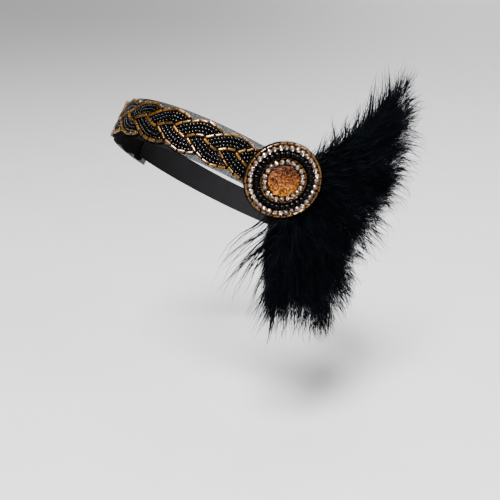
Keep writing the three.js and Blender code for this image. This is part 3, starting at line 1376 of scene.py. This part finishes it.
@dataclass
class FeltBacking:
    """Felt disc that carries the medallion, with loose fibres on its cut edge.

    Attributes:
        ragged, smooth: how far the cut strays, as a share of the radius, and over how many points.
        inset, rounded: how far the upper edge is drawn in, as a share, and down.
        uneven: depth of the hollows in its face.
        side: rows of the cut edge, as shares of the radius and of the thickness.
    """

    seat: Seat
    radius: float
    thick: float
    rings: int = 26
    ragged: float = 0.006
    smooth: int = 3
    inset: float = 0.992
    uneven: float = 0.12
    rounded: float = 0.2
    side: tuple[Pair, ...] = ((1.0, 0.62), (1.0, 0.3), (0.985, 0.0))
    fibres: int = 2600
    fibre_points: int = 4
    fibre_low: float = 0.1
    fibre_bands: Pair = (0.96, 1.0)
    fibre_lengths: Pair = (0.25, 0.8)
    fibre_stray: float = 0.6
    fibre_bend: float = 0.25
    fibre_width: float = 0.03
    fibre_taper: float = 0.8

    def build(self, chance: Chance) -> list[Piece]:
        """Makes the felt and its fibres.

        Args:
            chance: source of their unevenness.

        Returns:
            The felt, and the fibres.
        """
        felt = fit(self.plate(chance), Slot.FELT, "medallion_felt")
        fuzz = fit(self.fuzz(chance), Slot.FELT)
        side = 2 * self.radius * MM
        area = math.pi * (self.radius * MM) ** 2
        return [felt, fuzz]

    def plate(self, chance: Chance) -> Piece:
        """Makes the felt, uneven and rounded at its cut edge.

        Args:
            chance: source of its unevenness.

        Returns:
            The disc.
        """
        top = disc(self.rings)
        edge = SECTORS * self.rings
        rough = chance.normal(0, self.ragged, edge + self.smooth - 1)
        cut = 1 + np.convolve(rough, np.ones(self.smooth) / self.smooth, "valid")
        points = top.points * self.radius
        points[-edge:] *= cut[:, None] * self.inset
        points[:, 2] = self.thick + chance.uniform(-self.uneven, 0, len(points))
        points[-edge:, 2] -= self.rounded
        rim = np.stack([points[-edge:] * [share, share, 0] + [0, 0, self.thick * height]
                        for share, height in self.side])
        form = button(Form(points, top.faces), rim)
        felt = Form(self.seat.put(form.points), form.faces)
        return Stock().add(felt).piece("felt_disc", BlackFelt().material())

    def fuzz(self, chance: Chance) -> Piece:
        """Makes the loose fibres on the felt's edge.

        Args:
            chance: source of their places.

        Returns:
            All fibres as one piece.
        """
        count = self.fibres
        turn = chance.uniform(0, TURN, count)
        reach = self.radius * np.sqrt(chance.uniform(*self.fibre_bands, count))
        height = chance.uniform(self.fibre_low, self.thick, count)
        root = np.stack([reach * np.cos(turn), reach * np.sin(turn), height], axis=1)
        away = root * [1, 1, 0] / self.radius + chance.normal(0, self.fibre_stray, (count, 3))
        long = chance.uniform(*self.fibre_lengths, (count, 1))
        bend = chance.normal(0, self.fibre_bend, (count, 3))
        share = np.linspace(0, 1, self.fibre_points)[None, :, None]
        middles = root[:, None] + (away * long)[:, None] * share + bend[:, None] * share**2
        width = self.fibre_width * (1 - share * self.fibre_taper)
        sides = unit(np.cross(away, chance.normal(0, 1, (count, 3))))[:, None] * width
        stock = Stock().ribbons(self.seat.put(middles), self.seat.turn(sides))
        return stock.piece("felt_fibres", BlackFelt("felt_fibre").material())


@dataclass(frozen=True)
class Ring(ABC):
    """Beads or stones of one size, in a ring on the felt."""

    name: str
    node: str
    radius: float
    count: int
    size: float

    @abstractmethod
    def build(self, seat: Seat, foot: float, finishes: list[Material], chance: Chance) -> Piece:
        """Makes the ring.

        Args:
            seat: the felt's back.
            foot: how far the ring's foot is from it.
            finishes: the ring's materials.
            chance: source of small offsets.

        Returns:
            The ring.
        """

    def pitch(self) -> float:
        """Way from one place to the next."""
        return TURN * self.radius / self.count

    def spots(self, seat: Seat, height: float, loose: float, chance: Chance) -> tuple[Array, ...]:
        """Places round the ring, each a little off.

        Args:
            seat: the felt's back.
            height: how far they are from it.
            loose: how far off they are.
            chance: source of the small offsets.

        Returns:
            The places, and the directions round the ring and away from its middle.
        """
        turn = turns(self.count, 0.5) + chance.normal(0, loose / self.radius, self.count)
        reach = self.radius + chance.normal(0, loose, self.count)
        cosine, sine, zero = np.cos(turn), np.sin(turn), np.zeros(self.count)
        at = np.stack([reach * cosine, reach * sine, zero + height], axis=1)
        round_it = np.stack([-sine, cosine, zero], axis=1)
        outward = np.stack([cosine, sine, zero], axis=1)
        return seat.put(at), seat.turn(round_it), seat.turn(outward)


@dataclass(frozen=True)
class BeadRing(Ring):
    """A ring of drilled beads, end to end; unless told otherwise, of gold tubes."""

    tall: float
    hole: float
    square: float = 0.14
    sides: int = 14
    steps: int = 12
    gap: float = 0.6
    loose: float = 0.08
    askew: float = 0.04
    lengths: Pair = (0.93, 1.01)

    def build(self, seat: Seat, foot: float, finishes: list[Material], chance: Chance) -> Piece:
        """Makes the ring.

        Args:
            seat: the felt's back.
            foot: how far the beads' foot is from it.
            finishes: the beads' one material.
            chance: source of small offsets.

        Returns:
            The ring.
        """
        at, ahead, _ = self.spots(seat, foot + self.tall, self.loose, chance)
        if self.askew:
            ahead = ahead + chance.normal(0, self.askew, ahead.shape)
        stretch = chance.uniform(*self.lengths, self.count)
        length = self.pitch() - self.gap
        shape = bead(length, self.size, self.hole, self.square, self.sides, self.steps)
        shape.points[:, 2] *= self.tall / self.size
        stock = Stock().stamp(shape, places(at, ahead, seat.axes[2][None], stretch))
        return stock.piece(self.name, *finishes)


@dataclass(frozen=True)
class StoneRing(Ring):
    """A chain of cut stones in linked cups, each on an X axis that leaves the felt.

    Attributes:
        point, girdle, table: heights of the stone's back, edge and flat top.
        table_share, star_share: distance of the crown's corners from the axis, as shares of the radius.
        star_rise: height of the middle corners between girdle and table, as a share.
        claw_out, claw_over: how far claws stand outside the cup, and the share of the radius they bend to.
        link_lap: how far a link reaches into both cups together.
    """

    loose: float = 0.04
    tilt: float = 0.1
    facets: int = 8
    point: float = 0.4
    girdle: float = 1.62
    table: float = 2.25
    table_share: float = 0.56
    star_share: float = 0.8
    star_rise: float = 0.593
    wall: float = 0.1
    wall_sides: int = 16
    claws: int = 4
    claw_out: float = 0.02
    claw_over: float = 0.86
    link: float = 0.28
    link_core: float = 0.05
    link_square: float = 0.4
    link_lap: float = 0.7
    link_height: float = 0.35

    def build(self, seat: Seat, foot: float, finishes: list[Material], chance: Chance) -> Piece:
        """Makes the chain with its stones.

        Args:
            seat: the felt's back.
            foot: how far the cups' foot is from it.
            finishes: glass, foil and brass.
            chance: source of small tilts.

        Returns:
            The ring.
        """
        at, _, outward = self.spots(seat, foot, self.loose, chance)
        tilted = seat.axes[2] + chance.normal(0, self.tilt, (self.count, 3))
        spots = places(at, tilted, outward)
        crown, back = self.stone()
        stock = Stock().stamp(crown, spots, 0).stamp(back, spots, 1).stamp(self.cup(), spots, 2)
        middle, between, _ = self.spots(seat, foot + self.link_height, 0.0, chance)
        middle = seat.put(seat.read(middle) @ spin(math.pi / self.count, 2))
        length = self.pitch() - 2 * self.size + self.link_lap
        link = bead(length, self.link, self.link_core, self.link_square, sides=8, steps=8)
        stock.stamp(link, places(middle, between, seat.axes[2][None]), 2)
        return stock.piece(self.name, *finishes, shading=Shading.FACETED)

    def level(self, count: int, shift: float, share: float, height: float) -> Array:
        """Corners of a stone at one height.

        Args:
            count: how many there are.
            shift: how far they are turned, as a share of their pitch.
            share: their distance from the axis, as a share of the stone's radius.
            height: their place on the axis.

        Returns:
            The corners, in turn.
        """
        turn = turns(count, shift)
        reach = self.size * share
        return np.stack([np.full(count, height), reach * np.cos(turn), reach * np.sin(turn)], axis=1)

    def stone(self) -> tuple[Form, Form]:
        """A round brilliant, its table towards +X.

        Returns:
            The crown, and the pointed back.
        """
        n = self.facets
        star = self.girdle + self.star_rise * (self.table - self.girdle)
        girdle = self.level(2 * n, 0.0, 1.0, self.girdle)
        rows = [self.level(n, 0.0, self.table_share, self.table), self.level(n, 0.5, self.star_share, star)]
        k = np.arange(n)
        after, before = (k + 1) % n, (k - 1) % n
        low = 2 * (n + k)
        stars = np.stack([k, n + k, after], axis=1)
        kites = np.stack([k, n + before, low, n + k], axis=1)
        first = np.stack([n + k, low, low + 1], axis=1)
        second = np.stack([n + k, low + 1, 2 * (n + after)], axis=1)
        crown = Form(np.concatenate([*rows, girdle]), [k[None], stars, kites, first, second])
        edge = np.arange(2 * n)
        sides = np.stack([np.full(2 * n, 2 * n), (edge + 1) % (2 * n), edge], axis=1)
        return crown, Form(np.concatenate([girdle, [[self.point, 0, 0]]]), [sides])

    def cup(self) -> Form:
        """Pressed cup with claws bent over its stone.

        Returns:
            The cup, its foot at the origin.
        """
        stone, rim = self.size, self.size + self.wall
        # Heights and radii of the outside from the foot up, then of the inside
        wall = lathe(np.array([
            [0.0, 0.5], [0.0, rim * 0.82], [0.25, rim * 0.94], [1.25, rim], [1.6, rim],
            [1.62, rim - 0.07], [1.5, stone - 0.02], [0.45, stone * 0.8], [0.25, 0.5],
        ]), self.wall_sides)
        outside, over = rim + self.claw_out, stone * self.claw_over
        # Height, distance from the axis, half width and half thickness of a claw
        sections = [(1.1, outside, 0.2, 0.07), (1.65, outside, 0.19, 0.07), (1.98, over, 0.13, 0.06)]
        rows = np.array([[height, reach + away * thick, aside * wide]
                         for height, reach, wide, thick in sections
                         for away, aside in ((-1, -1), (-1, 1), (1, 1), (1, -1))])
        foot, tip = np.array([[3, 2, 1, 0]]), np.array([[8, 9, 10, 11]])
        faces = [grid_faces(len(sections), 4, False, True), tip, foot]
        claws = [Form(rows @ spin(turn, 0), faces) for turn in turns(self.claws, 0.5)]
        return merge([wall, *claws])


@dataclass
class GritCabochon:
    """Low dome of coarse grit.

    Attributes:
        pitch, height: of the bumps under the grit.
        scatter, rough: how far grains are out of place and out of level, as shares of a grain.
    """

    radius: float = 10.2
    rim: float = 1.5
    crown: float = 3.4
    rings: int = 32
    pitch: float = 1.25
    height: float = 0.14
    scatter: float = 0.3
    rough: float = 0.35

    def build(self, seat: Seat, foot: float, chance: Chance) -> Piece:
        """Makes the dome, a net of bumps with grains strewn over it.

        Args:
            seat: the felt's back.
            foot: how far the dome's foot is from it.
            chance: source of the grains.

        Returns:
            The cabochon.
        """
        top = disc(self.rings)
        edge = SECTORS * self.rings
        grain = self.radius / self.rings
        points = top.points * self.radius
        inner = points[:-edge]
        inner[:, :2] += chance.uniform(-self.scatter, self.scatter, (len(inner), 2)) * grain
        share = np.clip(np.hypot(points[:, 0], points[:, 1]) / self.radius, 0, 1)
        points[:, 2] = self.rim + (self.crown - self.rim) * np.sqrt(1 - share**2)
        diagonals = inner[:, :2] @ np.array([[1, 1], [1, -1]])
        waves = np.cos(diagonals * TURN / (self.pitch * math.sqrt(2)))
        inner[:, 2] += waves.prod(axis=1) * self.height
        inner[:, 2] += chance.uniform(-self.rough, self.rough, len(inner)) * grain
        rim = np.stack([points[-edge:] * [1, 1, 0] + [0, 0, h] for h in (self.rim / 2, 0.0)])
        form = button(Form(points, top.faces), rim)
        dome = Form(seat.put(form.points + [0, 0, foot]), form.faces)
        grit = GoldGrit(middle=seat.origin[2]).material()
        return Stock().add(dome).piece("grit_cabochon", grit, shading=Shading.FACETED)


@dataclass
class Medallion:
    """Felt disc with rings of tubes, stones and round beads about a glittering cabochon."""

    azimuth: float = 58.5
    elevation: float = 1.5
    wide: float = 1.018
    tall: float = 0.982
    felt: float = 24.75
    felt_thick: float = 1.5
    foot: float = 1.55
    tubes: tuple[BeadRing, ...] = (
        BeadRing("rim_bugles", "outer_bugle_ring", 23.3, 34, 0.74, tall=0.74, hole=0.37),
        BeadRing("inner_bugles", "inner_bugle_ring", 14.2, 22, 0.56, tall=0.56, hole=0.28),
    )
    stones: tuple[StoneRing, ...] = (
        StoneRing("outer_crystals", "outer_crystal_ring", 20.8, 36, 1.7),
        StoneRing("inner_crystals", "inner_crystal_ring", 12.0, 21, 1.66),
    )
    rounds: BeadRing = BeadRing(
        "round_black_beads", "black_bead_ring", 17.0, 33, 2.02, tall=1.65, hole=0.4, square=1.0,
        sides=18, steps=18, gap=0.12, loose=0.07, askew=0.0, lengths=(0.94, 1.0),
    )
    random: int = 23
    seat: Seat = field(init=False)

    def __post_init__(self) -> None:
        """Finds the felt's back in the frame."""
        low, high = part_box("medallion_felt")
        middle = np.array((low + high) / 2) / MM
        normal = Seat.facing(np.zeros(3), self.azimuth, self.elevation).axes[2]
        origin = middle - normal * self.felt_thick / 2
        self.seat = Seat.facing(origin, self.azimuth, self.elevation, self.wide, self.tall)

    def build(self) -> list[Piece]:
        """Makes the felt, every ring and the cabochon.

        Returns:
            The medallion's pieces.
        """
        chance = np.random.default_rng(self.random)
        gold = [GoldLined("gold_rim_tubes").material()]
        settings = [CutGlass().material(), MirrorFoil().material(), WarmBrass().material()]
        black = [RoundGlass().material()]
        made = FeltBacking(self.seat, self.felt, self.felt_thick).build(chance)
        rows = [(ring, Slot.GOLD_BUGLES, gold) for ring in self.tubes]
        rows += [(ring, Slot.CRYSTALS, settings) for ring in self.stones]
        rows.append((self.rounds, Slot.BLACK_BEADS, black))
        for ring, slot, finishes in rows:
            piece = ring.build(self.seat, self.foot, finishes, chance)
            made.append(fit(piece, slot, ring.node))
        cabochon = GritCabochon().build(self.seat, self.foot, chance)
        made.append(fit(cabochon, Slot.CABOCHON, "centre_cabochon"))
        return made


# Plumes


@dataclass(frozen=True)
class Lock:
    """One feather of a plume, on the plumes' plane: x to the back of the head, y up, lift out."""

    root: Pair
    tip: Pair
    bow: float
    width: float
    lift: float


@dataclass(frozen=True)
class Fringe:
    """A row of stray barbs that stand out from a plume's edge, on the plumes' plane."""

    roots: tuple[Pair, Pair]
    tips: tuple[Pair, Pair]
    count: int
    bow: float
    lift: float


@dataclass(frozen=True)
class Tuft:
    """Clumps from feather to feather, the barbs of a clump, and its opening as a share of the width."""

    clumps: int
    barbs: int
    open: float


UPPER_LOCKS = (
    Lock((10, 3), (82, 55), -10, 8, 2),
    Lock((12, 2), (91, 42), -5, 10.5, 6),
    Lock((13, 1), (92, 24), -2, 12, 0),
    Lock((14, 0), (89, 4), 0, 12, 7),
    Lock((14, -2), (82, -16), 2, 12, 1),
)
LOWER_LOCKS = (
    Lock((14, -6), (72, -36), 3, 12, 5),
    Lock((12, -8), (57, -59), 3, 12, 0),
    Lock((10, -10), (46, -86), 3, 12, 7),
    Lock((8, -11), (32, -109), 2, 11, 2),
    Lock((6, -11), (15, -91), 0, 11, 8),
    Lock((5, -11), (1, -96), -2, 10, 1),
    Lock((4, -10), (-13, -86), -1, 8, 5),
    Lock((2, -9), (-14, -56), -1, 7, 1),
)
UPPER_FRINGES = (
    Fringe(((12, 8), (30, 14)), ((21, 21), (38, 32)), 12, -1, 3),
    Fringe(((30, 15), (58, 29)), ((37, 36), (60, 50)), 22, -1, 3),
    Fringe(((56, 26), (72, 37)), ((59, 56), (69, 68)), 14, -2, 3),
    Fringe(((70, 38), (85, 51)), ((72, 71), (94, 64)), 13, -1, 4),
    Fringe(((84, 46), (85, 28)), ((99, 55), (105, 31)), 12, 1, 4),
    Fringe(((85, 26), (80, -4)), ((107, 18), (99, -13)), 13, 2, 5),
    Fringe(((79, -6), (72, -22)), ((101, -19), (90, -40)), 9, 2, 4),
    Fringe(((32, 14), (34, 15)), ((28, 40), (31, 43)), 2, -4, 3),
)
LOWER_FRINGES = (
    Fringe(((68, -32), (54, -56)), ((87, -49), (67, -74)), 11, 2, 4),
    Fringe(((64, -38), (66, -40)), ((83, -58), (85, -56)), 2, -1, 4),
    Fringe(((50, -66), (42, -92)), ((60, -80), (48, -106)), 12, 1, 4),
    Fringe(((38, -98), (24, -100)), ((40, -116), (24, -116)), 9, -1, 4),
    Fringe(((36, -86), (27, -88)), ((36, -118), (30, -119)), 10, 1, 3),
    Fringe(((22, -92), (-10, -84)), ((20, -115), (-14, -110)), 19, 1, 5),
    Fringe(((-9, -84), (-12, -56)), ((-22, -106), (-34, -84)), 17, 3, 5),
    Fringe(((-11, -54), (-10, -30)), ((-30, -84), (-47, -71)), 11, -3, 6),
    Fringe(((-8, -34), (-7, -20)), ((-52, -68), (-52, -49)), 8, -4, 7),
    Fringe(((-7, -20), (-6, -18)), ((-30, -29), (-25, -24)), 2, -3, 7),
)


@dataclass
class Plume:
    """A marabou plume: feathers of soft barbs, and fringes that stand out from them.

    Attributes:
        beside: feathers of the other plume that this one's down joins.
        root_depth: how far out the feathers start; less than 0 is behind the felt.
        most: how many strips one piece holds.
        beyond: share of the room between feathers whose clumps gather on the outermost ones.
        starts, spans: where on its feather a clump starts and how far it runs, as shares.
        sizes, flare: how far clumps open, as shares, and how late they do.
        slim, fuller: share of their opening at the root, and the share of the feather where it is full.
        root_spread, tip_spread: how far the barbs of a clump are apart.
        cuts: how much shorter some barbs are, as shares.
        strays: barbs at each place of a fringe.
        head_rooms, felt_room, felt_depth: what the barbs keep clear of the head and the felt.
        widths, taper, blunt: differences in width, how it falls off, and the share left at the tip.
    """

    name: str
    node: str
    locks: tuple[Lock, ...]
    fringes: tuple[Fringe, ...]
    loop: Loop
    medallion: Medallion
    random: int
    beside: tuple[Lock, ...] = ()
    azimuth: float = 70.0
    root_depth: float = -4.0
    thick: float = 7.5
    steps: int = 4
    most: int = 18000
    tufts: tuple[Tuft, ...] = (Tuft(340, 14, 0.9), Tuft(260, 2, 1.5))
    beyond: float = 0.35
    starts: Pair = (0.0, 0.82)
    spans: Pair = (0.12, 0.33)
    sizes: Pair = (0.05, 1.0)
    slim: float = 0.5
    fuller: float = 0.45
    flare: float = 1.15
    clump_sway: float = 1.3
    root_spread: float = 1.9
    tip_spread: float = 0.45
    cuts: Pair = (0.0, 0.35)
    bend: float = 0.8
    ripple: float = 0.45
    width: float = 0.135
    strays: int = 5
    stray_lengths: Pair = (0.7, 1.05)
    stray_bows: Pair = (-0.4, 1.8)
    stray_reaches: Pair = (0.5, 1.0)
    stray_apart: float = 0.7
    stray_sway: float = 1.1
    stray_ripple: float = 0.9
    stray_width: float = 0.3
    head_rooms: Pair = (4.0, 7.0)
    felt_room: float = 1.0
    felt_depth: float = -0.4
    widths: Pair = (0.6, 1.2)
    taper: float = 0.8
    blunt: float = 0.1

    def __post_init__(self) -> None:
        """Sets the plumes' plane behind the medallion."""
        self.fan = Seat.facing(self.medallion.seat.origin, self.azimuth)

    def build(self) -> list[Piece]:
        """Makes the barbs of all feathers and fringes.

        Returns:
            One or more pieces, none of them too heavy.
        """
        chance = np.random.default_rng(self.random)
        strips = [self.down(tuft, chance) for tuft in self.tufts]
        strips += [self.edging(fringe, chance) for fringe in self.fringes]
        middles = np.concatenate([m for m, _ in strips])
        sides = np.concatenate([s for _, s in strips])
        down = Marabou(f"{self.name}_down").material()
        groups = math.ceil(len(middles) / self.most)
        made = []
        for group in range(groups):
            stock = Stock().ribbons(middles[group::groups], sides[group::groups])
            nodes = (self.node,) if group == 0 else ()
            made.append(fit(stock.piece(f"{self.name}_{group + 1}", down), Slot.PLUME, *nodes))
        return made

    def curve(self, root: Array, tip: Array, bow: Array, depth: Array, lift: Array, share: Array) -> Array:
        """Points of bowed lines, which run on straight past their tips.

        Args:
            root: where each line starts.
            tip: where it ends.
            bow: how far its middle bends to the left.
            depth: how far out it starts.
            lift: how far out it ends.
            share: places on it, 0 at the root and 1 at the tip.

        Returns:
            The points, on the plumes' plane.
        """
        start, end = np.column_stack([root, depth]), np.column_stack([tip, lift])
        run = end - start
        left = unit(np.stack([-run[:, 1], run[:, 0], np.zeros(len(run))], axis=1))
        middle = (start + end) / 2 + 2 * bow[:, None] * left
        middle[:, 2] = lift / 2
        t = np.minimum(share, 1.0)[..., None]
        on = (1 - t) ** 2 * start[:, None] + 2 * t * (1 - t) * middle[:, None] + t**2 * end[:, None]
        return on + np.maximum(share - 1, 0)[..., None] * 2 * (end - middle)[:, None]

    def down(self, tuft: Tuft, chance: Chance) -> tuple[Array, Array]:
        """Clumps of barbs that fill the fan from feather to feather and thin out at the tips.

        Args:
            tuft: how many clumps and barbs there are, and how far they open.
            chance: source of the barbs' places.

        Returns:
            Middles and sides of flat strips.
        """
        row = (*self.beside, *self.locks)
        last_lock = len(row) - 1
        count, barbs = tuft.clumps * last_lock, tuft.barbs
        sizes = np.array([[*lock.root, *lock.tip, lock.bow, lock.width, lock.lift] for lock in row])
        beside = np.clip(chance.uniform(-self.beyond, last_lock + self.beyond, count), 0, last_lock)
        mixed = np.stack([np.interp(beside, np.arange(len(row)), size) for size in sizes.T], axis=1)
        bow, width, lift = mixed[:, 4:].T
        first = chance.uniform(*self.starts, count)
        last = first + chance.uniform(*self.spans, count)
        u = np.linspace(0, 1, self.steps + 1)[None, :]
        share = first[:, None] + (last - first)[:, None] * u
        depth = np.full(count, self.root_depth)
        line = self.curve(mixed[:, :2], mixed[:, 2:4], bow, depth, lift, share)
        ahead = unit(np.gradient(line, axis=1))
        across = unit(np.cross(np.array([0.0, 0.0, 1.0]), ahead))
        outward = np.cross(ahead, across)
        turn = chance.uniform(0, TURN, count)
        swell = self.slim + (1 - self.slim) * np.sin(math.pi / 2 * np.minimum(last / self.fuller, 1))
        size = np.sqrt(chance.uniform(*self.sizes, count)) * tuft.open * swell
        opened = size[:, None] * u**self.flare
        line = line + across * ((width * np.cos(turn))[:, None] * opened)[..., None]
        line += outward * ((self.thick * np.sin(turn))[:, None] * opened)[..., None]
        line += chance.normal(0, self.clump_sway, (count, 1, 3)) * (u**2)[..., None]
        spread = self.root_spread * (1 - u) + self.tip_spread
        loose = chance.normal(0, 1, (count, barbs, 1, 3)) * spread[..., None]
        back = chance.uniform(*self.cuts, (count, barbs, 1, 1)) * u[..., None]
        shorter = line[:, None] + (line[:, :1] - line)[:, None] * back
        wave = chance.normal(0, self.bend, (count, barbs, 1, 3)) * np.sin(math.pi * u)[..., None]
        wave += chance.normal(0, self.ripple, (count, barbs, 1, 3)) * np.sin(TURN * u)[..., None]
        points = (shorter + loose + wave).reshape(-1, self.steps + 1, 3)
        return self.strips(points, chance, self.width)

    def edging(self, fringe: Fringe, chance: Chance) -> tuple[Array, Array]:
        """Stray barbs of a fringe, a few close together at each place.

        Args:
            fringe: where they stand.
            chance: source of their differences.

        Returns:
            Middles and sides of flat strips.
        """
        count = fringe.count * self.strays
        beside = np.repeat(np.linspace(0, 1, fringe.count), self.strays)
        root, tip = (np.stack([np.interp(beside, (0, 1), axis) for axis in np.array(ends).T], axis=1)
                     for ends in (fringe.roots, fringe.tips))
        long, bow = (np.repeat(chance.uniform(*limits, fringe.count), self.strays)
                     for limits in (self.stray_lengths, self.stray_bows))
        tip = root + (tip - root) * long[:, None]
        reach = chance.uniform(*self.stray_reaches, count)
        reach[::self.strays] = 1.0
        u = np.linspace(0, 1, self.steps + 1)[None, :]
        lift = np.full(count, fringe.lift, float)
        line = self.curve(root, tip, fringe.bow * bow, lift, lift, reach[:, None] * u)
        line += chance.normal(0, self.stray_apart, (count, 1, 3))
        line += chance.normal(0, self.stray_sway, (count, 1, 3)) * (u**2)[..., None]
        line += chance.normal(0, self.stray_ripple, (count, 1, 3)) * np.sin(TURN * u)[..., None]
        return self.strips(line, chance, self.stray_width)

    def strips(self, points: Array, chance: Chance, width: float) -> tuple[Array, Array]:
        """Turns lines on the plumes' plane into strips clear of the head and the medallion.

        Args:
            points: lines of equally many points.
            chance: source of the strips' twist and width.
            width: half width at the root.

        Returns:
            Middles and sides of flat strips.
        """
        count = len(points)
        placed = self.loop.clear(self.fan.put(points), chance.uniform(*self.head_rooms, (count, 1)))
        seat = self.medallion.seat
        local = seat.read(placed)
        under = np.hypot(local[..., 0], local[..., 1]) < self.medallion.felt + self.felt_room
        local[..., 2] = np.where(under, np.minimum(local[..., 2], self.felt_depth), local[..., 2])
        placed = seat.put(local)
        ahead = unit(np.gradient(placed, axis=1))
        twist = chance.normal(0, 1, (count, 1, 3))
        share = np.linspace(0, 1, points.shape[1])[None, :, None]
        slender = (1 - share) ** self.taper + self.blunt
        half = width * chance.uniform(*self.widths, (count, 1, 1)) * slender
        return placed, unit(np.cross(ahead, twist)) * half


# Studio


def face_headband(light: bpy.types.Light, spot: Array) -> None:
    """Puts a light in the scene, turned to the headband.

    Args:
        light: the light.
        spot: its place, in metres.
    """
    back = unit(spot)
    lamp = bpy.data.objects.new(light.name, light)
    lamp.location = spot
    lamp.rotation_euler = (math.acos(back[2]), 0.0, math.atan2(back[0], -back[1]))
    bpy.context.scene.collection.objects.link(lamp)


@dataclass(frozen=True)
class Softbox:
    """A square lamp: where it hangs, its side, and its watts."""

    name: str
    place: Point
    size: float
    watts: float

    def hang(self) -> None:
        """Makes the lamp."""
        light = bpy.data.lights.new(self.name, "AREA")
        light.size = self.size * MM
        light.energy = self.watts
        face_headband(light, np.array(self.place) * MM)


@dataclass(frozen=True)
class Glow:
    """A broad light, as strong far off as near by: the side it comes from, and its watts a square metre."""

    name: str
    side: Point
    strength: float
    spread: float = math.radians(25.0)

    def hang(self) -> None:
        """Makes the light."""
        light = bpy.data.lights.new(self.name, "SUN")
        light.angle = self.spread
        light.energy = self.strength
        face_headband(light, np.array(self.side, float))


@dataclass
class Studio:
    """Plain pale floor, soft light and the camera; sky gives heights and how bright it is there."""

    floor_drop: float = 190.0
    floor_half: float = 30000.0
    eye: Point = (372.6, -339.4, 134.5)
    pitch_down: float = 0.3608
    heading: float = 0.8081
    lens: float = 51.05
    sensor: float = 36.0
    nearest: float = 10.0
    lamps: tuple[Softbox | Glow, ...] = (
        Softbox("key_softbox", (900, -1200, 1900), 800, 400.0),
        Softbox("side_softbox", (2250, 375, 1250), 600, 60.0),
        Glow("ceiling", (0, 0, 1), 3.4),
        Glow("back_wall", (-0.45, 0.85, 0.4), 2.4),
    )
    sky: tuple[Pair, ...] = ((0.0, 0.4), (0.12, 0.4), (0.35, 0.1), (0.5, 0.1), (0.95, 0.12))
    look: str = "AgX - Medium High Contrast"

    def build(self) -> None:
        """Makes floor, lights and camera."""
        bpy.context.scene.view_settings.look = self.look
        self.floor()
        self.camera()
        for lamp in self.lamps:
            lamp.hang()
        self.surround()

    def floor(self) -> None:
        """Makes the floor, which isn't part of the headband."""
        corners = np.array([[-1, -1, 0], [1, -1, 0], [1, 1, 0], [-1, 1, 0]]) * self.floor_half
        floor = Form(corners - [0, 0, self.floor_drop], [np.array([[0, 1, 2, 3]])])
        Stock().add(floor).piece("floor", PaleFloor().material())

    def surround(self) -> None:
        """Makes the soft light from all around, brightest at the horizon."""
        world = bpy.data.worlds.new("studio")
        shader = Shader(world)
        direction = shader.node("ShaderNodeTexCoord", output="Generated")
        height = shader.node("ShaderNodeSeparateXYZ", {}, {0: direction}, "Z")
        stops = [(place, (bright, bright, bright)) for place, bright in self.sky]
        glow = shader.node("ShaderNodeValToRGB", {"stops": stops}, {0: height}, "Color")
        shaded = shader.node("ShaderNodeBackground", {}, {"Color": glow})
        shader.node("ShaderNodeOutputWorld", {}, {"Surface": shaded})
        bpy.context.scene.world = world

    def camera(self) -> None:
        """Makes the camera at the photographed angle."""
        data = bpy.data.cameras.new("camera")
        data.lens = self.lens
        data.sensor_width = self.sensor
        data.clip_start = self.nearest * MM
        camera = bpy.data.objects.new("camera", data)
        camera.location = np.array(self.eye) * MM
        camera.rotation_euler = (math.pi / 2 - self.pitch_down, 0.0, self.heading)
        bpy.context.scene.collection.objects.link(camera)
        bpy.context.scene.camera = camera


def main() -> None:
    """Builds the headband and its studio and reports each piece."""
    logging.basicConfig(level=logging.INFO, format="%(name)s: %(message)s")
    loop = Loop()
    medallion = Medallion()
    parts = (
        NetBand(loop),
        BackElastic(loop),
        Plait(loop),
        medallion,
        Plume("marabou_upper", "plume_upper", UPPER_LOCKS, UPPER_FRINGES, loop, medallion, random=5),
        Plume("marabou_lower", "plume_lower", LOWER_LOCKS, LOWER_FRINGES, loop, medallion, random=6,
              beside=UPPER_LOCKS[-1:]),
    )
    for part in parts:
        for piece in part.build():
            triangles = sum(len(face.vertices) - 2 for face in piece.data.polygons)
            LOG.info("%s, of %s: %d triangles", piece.name, type(part).__name__, triangles)
    Studio().build()


if __name__ == "__main__":
    main()
